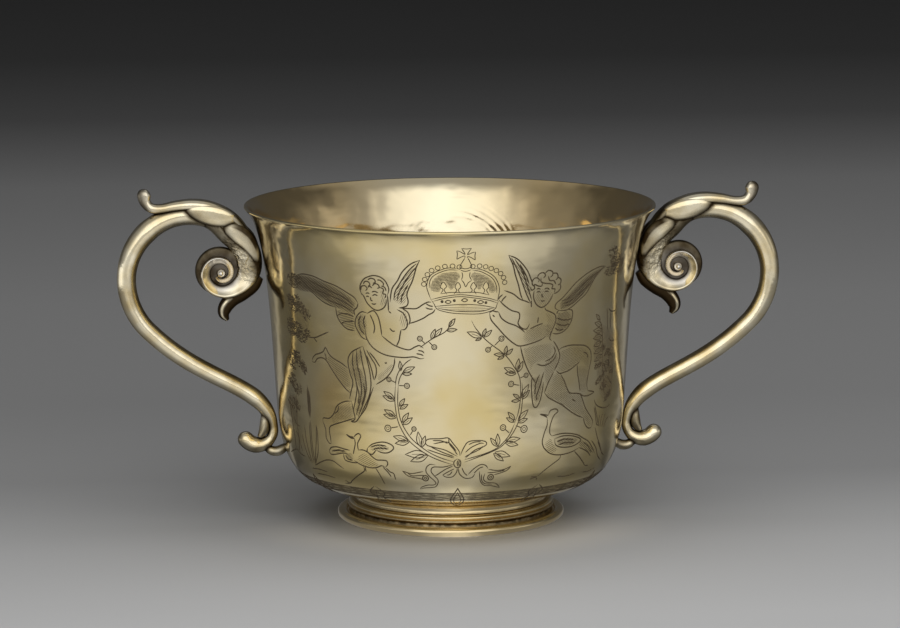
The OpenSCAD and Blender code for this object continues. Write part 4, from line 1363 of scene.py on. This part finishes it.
# %% Volute
VOLUTE_D = 7
CREST_FROM = 110
CREST_TO = 215
CREST_AT = 0.55
SNAIL_SIDES = 72
eye_at = upper + [13.6, 0.1]
start = bow(BOW_FROM) - eye_at
# Rows of the snail: bearing about the eye, distance from it, half thickness, share of the width
SNAIL = [[math.degrees(math.atan2(start[1], start[0])), np.linalg.norm(start), 0.51 * STEM_D, 0.86],
         [100, 13.6, 4.4, 0.9], [123, 11.3, 4.2, 0.92], [154, 9.5, 4.1, 0.94], [182, 8.3, 3.75, 0.94],
         [225, 6.6, 2.8, 0.92], [270, 5.75, 2.1, 0.9], [330, 4.95, 1.85, 0.88], [400, 4.3, 1.55, 0.88],
         [470, 3.6, 1.25, 0.9], [540, 3, 1.05, 0.94], [610, 2.4, 0.85, 0.98], [680, 1.7, 0.6, 1]]
snail_polar = smooth_run(SNAIL, 3)
snail_rows = np.array([(*(eye_at + r * bearing(a)), half, share * VOLUTE_D / 2)
                       for a, r, half, share in snail_polar])


def stepped_section(sides):
    """In-plane and across shares of the stepped section; plus in the plane is the inner edge."""
    turn = np.linspace(0, 2 * math.pi, sides, endpoint=False)
    lift = np.sin(turn)
    slope = 0.5 + 0.5 * np.clip((1 - lift) / (1 + CREST_AT), 0, 1) ** 1.6
    body = (1 - abs(lift) ** 7) ** 0.5
    return lift, np.sign(np.cos(turn)) * slope * body * (abs(np.cos(turn)) > 1e-6)


crest_share = np.clip((snail_polar[:, 0] - CREST_FROM) / (CREST_TO - CREST_FROM), 0, 1)
print("snail stations", len(snail_rows))

# %% [markdown]
# The leaves and petals are drawn the same way, each as a few stations that are smoothed into a
# flowing form. In the long leaf and the petals the last number is a share of the widest half
# width. The petals lie in pairs, one on each face of the shoulder.

# %% Leaves, petals and heel
LEAF_W = 7
CAP_LEAF = [[3.9, 7.4, 0.6, 0.55], [5.1, 11.2, 1.05, 0.85], [8, 15.6, 1.25, 1], [12, 18.6, 1.5, 1],
            [17, 20.5, 1.7, 1], [22, 21.1, 1.75, 0.97], [27, 20.7, 1.65, 0.86], [31.4, 19.9, 1.5, 0.7],
            [34.6, 20.2, 1.5, 0.57], [36.3, 21.9, 1.7, 0.52], [36.7, 23.9, 2.1, 0.54],
            [36.6, 25, 1.8, 0.5], [36.45, 25.7, 1.1, 0.36], [36.4, 26, 0.4, 0.15]]
LONG_PETAL = [[8.4, 15.3, 0.4, 0.3], [10.6, 16.6, 2.3, 0.8], [14.6, 17.7, 3.2, 1],
              [18.8, 18.7, 2.9, 0.9], [22.2, 19.2, 1.8, 0.7], [24.2, 19.3, 0.4, 0.3]]
SHORT_PETAL = [[2.6, 2.6, 0.4, 0.3], [3.3, 6.2, 1.7, 0.8], [5.5, 10, 2.7, 1], [8.6, 12.6, 2.8, 0.95],
               [11.4, 13.9, 1.9, 0.7], [13.2, 14.2, 0.4, 0.3]]
DROP_LEAF = [[1.6, -1.6, 1.2, 1.7], [3.6, -4.1, 2, 2.3], [6.9, -6.4, 2.3, 2.4], [10.2, -8.3, 2.35, 2.2],
             [12.3, -10.7, 2.2, 2], [12.7, -12.9, 1.8, 1.7], [11.7, -14.8, 0.6, 1]]
HEEL_LEAF = [[5, 4.6, 0.6, 0.8], [4.3, 1.6, 1.6, 1.6], [4.6, -1.2, 1.7, 1.6], [6, -3.9, 0.9, 1]]
HEEL_SPUR = [[4.4, -6.6, 1.1, 1.2], [2.5, -8.1, 1.45, 1.6], [0.5, -8.3, 1.55, 1.7],
             [-1.2, -7.4, 1.35, 1.6], [-2.4, -6.2, 0.8, 1]]


def stations(rows, seat, width=1.0):
    """Stations drawn from a seat on the wall, smoothed, in the handle's plane."""
    rows = np.array(rows, dtype=float)
    rows[:, :2] += seat
    rows[:, 3] *= width
    return smooth_run(rows, FLOW_STEP)


# %% Forms of one handle
FORM_SIDES = 40
PETAL_SIDES = 48
HEEL_SIDES = 28
PETAL_HALF_W = 2.1
PETAL_EDGE = 0.6
PETALS = {"long_petal": (LONG_PETAL, 0.51 * STEM_D - 1),
          "short_petal": (SHORT_PETAL, 0.46 * VOLUTE_D - 1)}
casting = {
    "stem": swept(stem_rows, FORM_SIDES),
    "volute": swept(snail_rows, SNAIL_SIDES, 0, 0.8, stepped_section(SNAIL_SIDES), crest_share),
    "cap_leaf": swept(stations(CAP_LEAF, upper, LEAF_W / 2), FORM_SIDES, 0, 0.75),
    "drop_leaf": swept(stations(DROP_LEAF, upper), FORM_SIDES, 0, 0.85),
}
for name, (rows, side) in PETALS.items():
    for face, across in (("front", -side), ("back", side)):
        petal = stations(rows, upper, PETAL_HALF_W)
        casting[f"{face}_{name}"] = swept(petal, PETAL_SIDES, across, PETAL_EDGE)
for name, rows in (("heel_leaf", HEEL_LEAF), ("heel_spur", HEEL_SPUR)):
    casting[name] = swept(stations(rows, lower), HEEL_SIDES)
print("handle forms", {name: len(points) for name, (points, faces) in casting.items()})


# %% Turn and join forms
def turned_across(centre, profile, sides=72):
    """Points and faces of a (radius, across) profile turned about an axis across the handle.
    The profile starts and ends on the axis."""
    points = []
    for r, y in profile[1:-1]:
        turn = np.linspace(0, 2 * math.pi, sides, endpoint=False)
        points.extend(zip(centre[0] + r * np.cos(turn), np.full(sides, y), centre[1] + r * np.sin(turn)))
    rings = len(profile) - 2
    first, last = len(points), len(points) + 1
    points.extend([(centre[0], profile[0][1], centre[1]), (centre[0], profile[-1][1], centre[1])])
    faces = []
    for j in range(sides):
        k = (j + 1) % sides
        faces.append((first, j, k))
        for i in range(rings - 1):
            a = i * sides
            faces.append((a + j, a + sides + j, a + sides + k, a + k))
        faces.append((last, (rings - 1) * sides + k, (rings - 1) * sides + j))
    return points, faces


def join(*forms):
    """Several closed forms as one list of points and faces."""
    points, faces = [], []
    for more_points, more_faces in forms:
        shift = len(points)
        points.extend(more_points)
        faces.extend(tuple(i + shift for i in face) for face in more_faces)
    return points, faces


# %% Button and drum of the volute
BUTTON_R = 1.7
BUTTON_HIGH = 3.9
DRUM_R = 7.5
DRUM_HIGH = 1.25
DRUM_LOW = 0.95
drum_at = eye_at + DRUM_R * np.array([0.05, 0.06])
button = turned_across(eye_at, [(BUTTON_R, BUTTON_HIGH) * bearing(a) for a in np.linspace(-90, 90, 25)])
drum_side = [(0, DRUM_HIGH), (3.4, DRUM_HIGH),
             *cubic((4.2, DRUM_HIGH), (5.4, 1.25), (6.4, 1.2), (DRUM_R - 0.5, DRUM_LOW), 10),
             (DRUM_R - 0.15, DRUM_LOW - 0.35), (DRUM_R, 0)]
drum = turned_across(drum_at, [(r, -y) for r, y in drum_side[:-1]] + drum_side[::-1])
snail_count = len(casting["volute"][0])
casting["volute"] = join(casting["volute"], button, drum)

# %% [markdown]
# Residue gathers where one form meets another, and shade is painted there with it. Each point of
# the casting looks for the nearest point of every other form, and of the bowl: the closer that
# is, the darker it is painted, and near the bowl's wall the painted shade reaches further.

# %% Corners of the casting
CORNER_REACH = 1.15
WALL_REACH = 7.5
WALL_SHADE = {"stem": 0.3, "cap_leaf": 1.9, "volute": 1.3}
OTHER_SHADE = 0.8
SHADE_MOST = 0.88


def corner_depth(name):
    """For each point of a form, how dark residue and painted shade make it: 1 in a corner with another
    form, 0 in the open, darker near the bowl's wall. The petals are chased into the long leaf
    without a corner, so that pair is passed over."""
    points = np.array(casting[name][0])
    others = join(*(form for key, form in casting.items()
                    if key != name and not ("cap_leaf" in (key, name) and "petal" in key + name)))
    nearest = BVHTree.FromPolygons(*others).find_nearest
    gap = np.array([nearest(Vector(p))[3] for p in points])
    wall_gap = np.hypot(points[:, 0], points[:, 1]) - wall_r(points[:, 2])
    depth = np.clip(1 - gap / CORNER_REACH, 0, 1) ** 0.8
    at_wall = WALL_SHADE.get(name, OTHER_SHADE) * (1 - np.maximum(wall_gap, 0) / WALL_REACH)
    return np.maximum(depth, np.clip(at_wall, 0, SHADE_MOST))


corners = {name: corner_depth(name) for name in casting}
print("corners of", list(corners))

# %% [markdown]
# Shade is also painted along the edges of the stem and leaves, with residue where the cloth does
# not reach: the inner edge, less of the outer one, and on small leaves nearly all but a bright
# ridge, which is a painted highlight. The thumb rest is painted brown under its curl, as shade,
# and the short petals are painted brown on their upper side, as shade.

# %% Residue along the edges
# For each form: its sides, then the shade and residue painted on the inner edge, the outer edge and the
# whole
EDGES = {"stem": (FORM_SIDES, 0.66, 0.4, 0), "cap_leaf": (FORM_SIDES, 0.5, 0.3, 0),
         "drop_leaf": (FORM_SIDES, 1, 0.9, 1), "heel_leaf": (HEEL_SIDES, 0.9, 0.5, 0.6),
         "heel_spur": (HEEL_SIDES, 0.6, 0.6, 0.3)}
THUMB_AT = upper[0] + 34
THUMB_SHADE = 0.75
SHORT_PETAL_SHADE = ([0, 0.12, 0.3, 0.72, 0.86, 1], [0, 0.3, 0.9, 0.9, 0.5, 0])


def flow(name, sides):
    """For each point of a swept form: how far it lies to the left of the path, from -1 to 1, and
    its share of the way along. The two points that close its ends count as 0."""
    rows = (len(casting[name][0]) - 2) // sides
    lift = np.sin(np.linspace(0, 2 * math.pi, sides, endpoint=False))
    return (np.append(np.tile(lift, rows), [0, 0]),
            np.append(np.repeat(np.arange(rows) / rows, sides), [0, 0]))


def darken(name, share):
    """Adds residue and painted shade to a form where it has less."""
    corners[name] = np.maximum(corners[name], share)


# Painted shade along the edges; the whole term darkens all but a ridge, a painted highlight
for name, (sides, inner_share, outer_share, whole) in EDGES.items():
    lift, _ = flow(name, sides)
    darken(name, inner_share * np.clip((-lift - 0.45) / 0.45, 0, 1))
    darken(name, outer_share * np.clip((lift - 0.7) / 0.3, 0, 1))
    darken(name, whole * (1 - np.exp(-((lift - 0.35) / 0.16) ** 2)))
lift, _ = flow("cap_leaf", FORM_SIDES)
leaf_out = np.array(casting["cap_leaf"][0])[:, 0]
thumb_end = np.clip((leaf_out - THUMB_AT) / 2, 0, 1)
# Painted shade under the curl of the thumb rest
darken("cap_leaf", THUMB_SHADE * thumb_end * np.clip((0.35 - lift) / 0.6, 0, 1))
# Painted shade on the upper side of the short petals
for name in ("front_short_petal", "back_short_petal"):
    lift, along = flow(name, PETAL_SIDES)
    darken(name, np.interp(along, *SHORT_PETAL_SHADE) * np.clip((lift + 0.1) / 0.35, 0, 1))

# %% [markdown]
# In the snail the band is painted darker from its crest down into the groove between its turns,
# as shade with residue, and the drum behind them and the throat under the shoulder are painted
# dark as shade. Its pitted neck is dull. The thumb rest is worn through to the silver, and the
# centre of the snail's face is painted pale silver as a highlight. The left stem stands in more
# shade, so its inner side is painted browner.

# %% Grooves of the snail, and wear
SNAIL_SLOPE_SHADE = 0.9
THROAT_SHADE = 0.75
DRUM_SHADE = 0.84
NECK_BROWN = 0.42
EYE_HIGHLIGHT_R = 6.6
EYE_HIGHLIGHT_MOST = 0.85
WORN_LEAF_AT = upper[0] + 30
WORN_LEAF = 0.3
LEFT_STEM_SHADE = 0.36
# Where each begins and ends along the snail is a bearing, as in SNAIL
in_plane = np.tile(np.sin(np.linspace(0, 2 * math.pi, SNAIL_SIDES, endpoint=False)), len(snail_rows))
along = np.repeat(snail_polar[:, 0], SNAIL_SIDES)
# Painted shade: the band darkens from its crest to its inner edge, and along its outer edge further in
inner_edge = np.clip(in_plane / 0.85, 0, 1) * np.clip((along - 170) / 60, 0, 1)
outer_edge = np.clip((-in_plane - 0.8) / 0.18, 0, 1) * np.clip((along - 300) / 60, 0, 1)
throat = THROAT_SHADE * np.clip((in_plane + 0.3) / 0.6, 0, 1) * np.clip((140 - along) / 20, 0, 1)
volute_xz = np.array(casting["volute"][0])[:, [0, 2]]
groove = np.zeros(len(volute_xz))
groove[:len(along)] = np.maximum(SNAIL_SLOPE_SHADE * np.maximum(inner_edge, outer_edge), throat)
neck_share = np.zeros(len(volute_xz))
neck_share[:len(along)] = np.clip((along - 96) / 12, 0, 1) * np.clip((205 - along) / 30, 0, 1)
darken("volute", groove)
# The drum is painted dark all over, as shade
corners["volute"][snail_count + len(button[0]):] = DRUM_SHADE
darken("volute", NECK_BROWN * neck_share)
# Near the eye of the snail the pale silver is a painted highlight; on the thumb rest it is wear
wear_and_highlight = {"volute": EYE_HIGHLIGHT_MOST * np.clip((EYE_HIGHLIGHT_R - np.hypot(*(volute_xz - eye_at).T)) / 1.6, 0, 1),
        "cap_leaf": WORN_LEAF * np.clip((leaf_out - WORN_LEAF_AT) / 6, 0, 1)}
lift, _ = flow("stem", FORM_SIDES)
# Painted shade on the inner side of the left stem
left_stem = np.maximum(corners["stem"], LEFT_STEM_SHADE * np.clip((0.05 - lift) / 0.5, 0, 1))

# %% [markdown]
# One pattern serves for both handles: the left one is the right one turned half round the axis
# of the cup, so its front petals are the other one's back petals.

# %% Cast both handles
OTHER_FACE = {"front": "back", "back": "front"}
for hand, sign in (("right", 1), ("left", -1)):
    for name, (points, faces) in casting.items():
        face, _, rest = name.partition("_")
        node = f"{OTHER_FACE[face]}_{rest}" if sign < 0 and face in OTHER_FACE else name
        turned = np.array(points) * [sign, sign, 1]
        piece = make_piece(f"{hand}_{node}_casting", turned, faces, gilt_cast)
        shape = bmesh.new()
        shape.from_mesh(piece.data)
        bmesh.ops.recalc_face_normals(shape, faces=shape.faces)
        shape.to_mesh(piece.data)
        shape.free()
        set_attribute(piece, "shade_and_residue", left_stem if sign < 0 and name == "stem" else corners[name])
        if name == "volute":
            set_attribute(piece, "pits", neck_share)
        if name in wear_and_highlight:
            set_attribute(piece, "wear_and_highlight", wear_and_highlight[name])
        fit(piece, "gilt_cast", f"{hand}_{node}")

# %% [markdown]
# ## Studio
# Polished metal shows only its surroundings, so the studio is built for the metal as much as for
# the eye. Near the cup the floor is pale in front, fades to the sides, and has a narrow bright
# strip on each side behind, which gives the upright streaks on the bowl. Further out a bright
# card stands at the left, and the rest is plainer. Two rows of softboxes hang over the front,
# and behind the cup all is dark. The metal alone sees these, through Is Glossy Ray: each is a
# ramp of brightness over the bearing, in degrees from the front.

# %% Cards round the cup
CARDS = {
    "Near floor": [
        (-180, 0.1), (-158, 0.1), (-146, 0.12), (-141, 0.3), (-137, 0.3), (-129, 0.1), (-118, 0.09),
        (-98, 0.15), (-80, 0.225), (-66, 0.28), (-48, 0.5), (-30, 0.66), (-8, 0.76), (10, 0.72),
        (34, 0.5), (52, 0.28), (70, 0.22), (90, 0.175), (112, 0.1), (122, 0.12), (130, 0.24),
        (136, 0.24), (146, 0.09), (180, 0.09)],
    "Far cards": [
        (-180, 0.08), (-126, 0.18), (-106, 0.35), (-90, 0.95), (-68, 1.1), (-52, 0.75), (-36, 0.58),
        (0, 0.52), (25, 0.62), (50, 0.66), (66, 0.5), (82, 0.25), (100, 0.1), (180, 0.06)],
    "Softbox": [
        (-180, 0.06), (-120, 0.08), (-75, 0.26), (-58, 0.42), (-48, 0.66), (-38, 0.98), (-26, 1.2),
        (-4, 1.3), (20, 1.2), (34, 1.0), (44, 0.6), (54, 0.38), (66, 0.46), (76, 0.55), (90, 0.24),
        (120, 0.08), (180, 0.06)],
    "High softbox": [
        (-180, 0.06), (-120, 0.08), (-91, 0.2), (-70, 0.27), (-56, 0.42), (-47, 0.64), (-37, 0.98),
        (-25, 1.2), (-4, 1.3), (20, 1.15), (33, 1.0), (43, 0.6), (54, 0.34), (68, 0.3), (84, 0.16),
        (100, 0.09), (180, 0.06)]}


def fill(ramp, stops):
    """Sets the stops of a colour ramp: places from 0 to 1 and their colours."""
    for i, (at, colour) in enumerate(stops):
        stop = ramp.elements[i] if i < 2 else ramp.elements.new(at)
        stop.position = at
        stop.color = colour


cards = bpy.data.node_groups.new("cards_round_the_cup", "ShaderNodeTree")
cards.interface.new_socket("Direction", in_out="INPUT", socket_type="NodeSocketVector")
direction = add(cards, "SeparateXYZ", None,
                {0: add(cards, "NodeGroupInput").outputs["Direction"]}).outputs
ahead = add(cards, "Math", {"operation": "MULTIPLY", 1: -1.0}, {0: direction["Y"]})
angle = add(cards, "Math", {"operation": "ARCTAN2"}, {0: direction["X"], 1: ahead})
share = add(cards, "MapRange", {"From Min": -math.pi, "From Max": math.pi}, {"Value": angle})
shown = {}
for name, stops in CARDS.items():
    cards.interface.new_socket(name, in_out="OUTPUT", socket_type="NodeSocketColor")
    shown[name] = add(cards, "ValToRGB", None, {0: share})
    shown[name].color_ramp.interpolation = "EASE"
    fill(shown[name].color_ramp,
         [((degrees + 180) / 360, (light, light, light, 1)) for degrees, light in stops])
add(cards, "NodeGroupOutput", None, shown)
print("cards", list(shown))

# %% [markdown]
# To the eye, the floor is a board of pale grey with the fall of the light painted on it: palest in
# front of the cup, a little darker round it as painted shadow, and painted dark behind, where the
# lamp hardly reaches. Before the foot a warm patch is painted on the board for the light that the
# gilded bowl throws down.

# %% Floor and its grey
# Greys of the board by depth: the lamp's falloff and the shadow behind the cup painted in
BOARD_PAINTED_FALLOFF = [(-0.3, "#BCBCBC"), (-0.14, "#BDBDBD"), (-0.04, "#ABABAB"), (0.06, "#8C8C8C"), (0.2, "#868686"),
         (0.43, "#8B8B8B"), (0.8, "#858585"), (1.1, "#585858"), (1.45, "#3A3A3A"), (1.9, "#2E2E2E")]
PAINTED_BOUNCE_LIGHT = "#E9E2D4"
FLOOR_SIZE = 6.0
# By distance from the axis in metres: from, to, and the values there
BY_DISTANCE = {"painted_bounce": (0.036, 0.074, 0.5, 0), "narrow": (0.046, 0.075, 5, 0.6),
               "widen": (0.15, 0.22, 0.6, 1.15), "far": (0.36, 0.46, 0, 1),
               "near": (0.06, 0.13, 0.52, 1), "at_foot": (0.046, 0.062, 1.9, 1)}


def eased(tree, value, bands):
    """Smooth steps of one value, by name: from, to, and the results there."""
    return {name: add(tree, "MapRange",
                      {"interpolation_type": "SMOOTHSTEP", "From Min": low, "From Max": high,
                       "To Min": at_low, "To Max": at_high}, {"Value": value})
            for name, (low, high, at_low, at_high) in bands.items()}


painted, tree, board, place = new_material("matt_board_painted_falloff")
board.inputs["Roughness"].default_value = 0.8
board.inputs["Specular IOR Level"].default_value = 0.2
depth = add(tree, "SeparateXYZ", None, {0: place}).outputs["Y"]
front, back = BOARD_PAINTED_FALLOFF[0][0], BOARD_PAINTED_FALLOFF[-1][0]
depth_share = add(tree, "MapRange", {"From Min": front, "From Max": back}, {"Value": depth})
grade = add(tree, "ValToRGB", None, {0: depth_share})
fill(grade.color_ramp, [((at - front) / (back - front), linear(grey)) for at, grey in BOARD_PAINTED_FALLOFF])
distance = add(tree, "VectorMath", {"operation": "LENGTH"}, {0: place})
step = eased(tree, distance, BY_DISTANCE)
before = add(tree, "MapRange", {"From Min": -0.034, "From Max": 0, "To Min": 1, "To Max": 0},
             {"Value": depth})
# A painted pool of warm light before the foot, for light thrown by the gilded bowl
painted_bounce = add(tree, "Math", {"operation": "MULTIPLY"}, {0: step["painted_bounce"], 1: before})
link(tree, tinted(tree, grade, (painted_bounce, PAINTED_BOUNCE_LIGHT)), board.inputs["Base Color"])

# %% What the metal sees of the floor
# Near the foot the pale patch is narrower, and far out the cards take its place
squeeze_by = add(tree, "Math", {"operation": "MAXIMUM"}, {0: step["narrow"], 1: step["widen"]})
squeeze = add(tree, "CombineXYZ", {"Y": 1.0, "Z": 1.0}, {"X": squeeze_by})
squeezed = add(tree, "VectorMath", {"operation": "MULTIPLY"}, {0: place, 1: squeeze})
card_light = add(tree, "Group", {"node_tree": cards}, {0: squeezed}).outputs
floor_light = add(tree, "Mix", {"data_type": "RGBA"},
                  {0: step["far"], 6: card_light["Near floor"], 7: card_light["Far cards"]})
near_light = add(tree, "Math", {"operation": "MULTIPLY"}, {0: step["near"], 1: step["at_foot"]})
glow = add(tree, "Emission", None, {"Color": floor_light, "Strength": near_light})
seen_by_metal = add(tree, "LightPath").outputs["Is Glossy Ray"]
seen = add(tree, "MixShader", None, {0: seen_by_metal, 1: board, 2: glow})
link(tree, seen, tree.nodes["Material Output"].inputs["Surface"])
floor_mesh = bpy.data.meshes.new("studio_floor")
floor_corners = ((-1, -1), (1, -1), (1, 1), (-1, 1))
floor_mesh.from_pydata([(x * FLOOR_SIZE, y * FLOOR_SIZE, 0) for x, y in floor_corners], [],
                       [(0, 1, 2, 3)])
floor_mesh.materials.append(painted)
add_object("studio_floor", floor_mesh)

# %% [markdown]
# The world stands in for the room above the floor. The metal sees the cards low down, the
# softboxes over them and a plain ceiling; everything else gets an even grey.

# %% World
CEILING = (0.35, 0.35, 0.35, 1)
ROOM = {"Color": (0.5, 0.5, 0.5, 1), "Strength": 0.36}
BY_HEIGHT = {"Softbox": (0, 0.05, 0, 1), "High softbox": (0.2, 0.45, 0, 1), "ceiling": (0.6, 0.9, 0, 1)}
world = bpy.data.worlds.new("studio")
bpy.context.scene.world = world
world.use_nodes = True
tree = world.node_tree
tree.nodes.clear()
upward = add(tree, "TexCoord").outputs["Generated"]
sky_cards = add(tree, "Group", {"node_tree": cards}, {0: upward}).outputs
step = eased(tree, add(tree, "SeparateXYZ", None, {0: upward}).outputs["Z"], BY_HEIGHT)
sky = sky_cards["Far cards"]
for name in ("Softbox", "High softbox"):
    sky = add(tree, "Mix", {"data_type": "RGBA"}, {0: step[name], 6: sky, 7: sky_cards[name]})
sky = add(tree, "Mix", {"data_type": "RGBA", 7: CEILING}, {0: step["ceiling"], 6: sky})
for_metal = add(tree, "Background", None, {"Color": sky})
for_rest = add(tree, "Background", ROOM)
seen_by_metal = add(tree, "LightPath").outputs["Is Glossy Ray"]
seen = add(tree, "MixShader", None, {0: seen_by_metal, 1: for_rest, 2: for_metal})
add(tree, "OutputWorld", None, {"Surface": seen})

# %% [markdown]
# Two lamps light the board and the residue: one straight overhead, one low at the front and
# turned to the cup. The metal does not see them, since the cards stand for them there.

# %% Lamps
LAMPS = (("overhead_softbox", (0.2, -0.2, 1.0), (1.5, 1.1), 7, False),
         ("front_softbox", (0.06, -0.95, 0.42), (0.9, 0.5), 4, True))
for name, at, size, power, turned_to_cup in LAMPS:
    lamp_data = bpy.data.lights.new(name, "AREA")
    lamp_data.shape = "RECTANGLE"
    lamp_data.size, lamp_data.size_y = size
    lamp_data.energy = power
    lamp = add_object(name, lamp_data)
    lamp.location = at
    if turned_to_cup:
        lamp.rotation_euler = (-Vector(at)).to_track_quat("-Z", "Y").to_euler()
    lamp.visible_glossy = False

# %% [markdown]
# ## Camera
# A long lens at a gentle height, a little to the left of the front, as in the photograph.

# %% Camera and colour
CAMERA_AT = (-0.0981, -1.2461, 0.2656)
CAMERA_TURN = -4.5
CAMERA_TILT = 80.791
CAMERA_ROLL = -0.2
CAMERA_LENS = 164.3
CAMERA_SENSOR = 36
camera_data = bpy.data.cameras.new("camera")
camera_data.sensor_width = CAMERA_SENSOR
camera_data.lens = CAMERA_LENS
camera = add_object("camera", camera_data)
camera.matrix_world = (Matrix.Translation(CAMERA_AT)
                       @ Matrix.Rotation(math.radians(CAMERA_TURN), 4, "Z")
                       @ Matrix.Rotation(math.radians(CAMERA_TILT), 4, "X")
                       @ Matrix.Rotation(math.radians(CAMERA_ROLL), 4, "Z"))
bpy.context.scene.camera = camera
bpy.context.scene.view_settings.view_transform = "Standard"
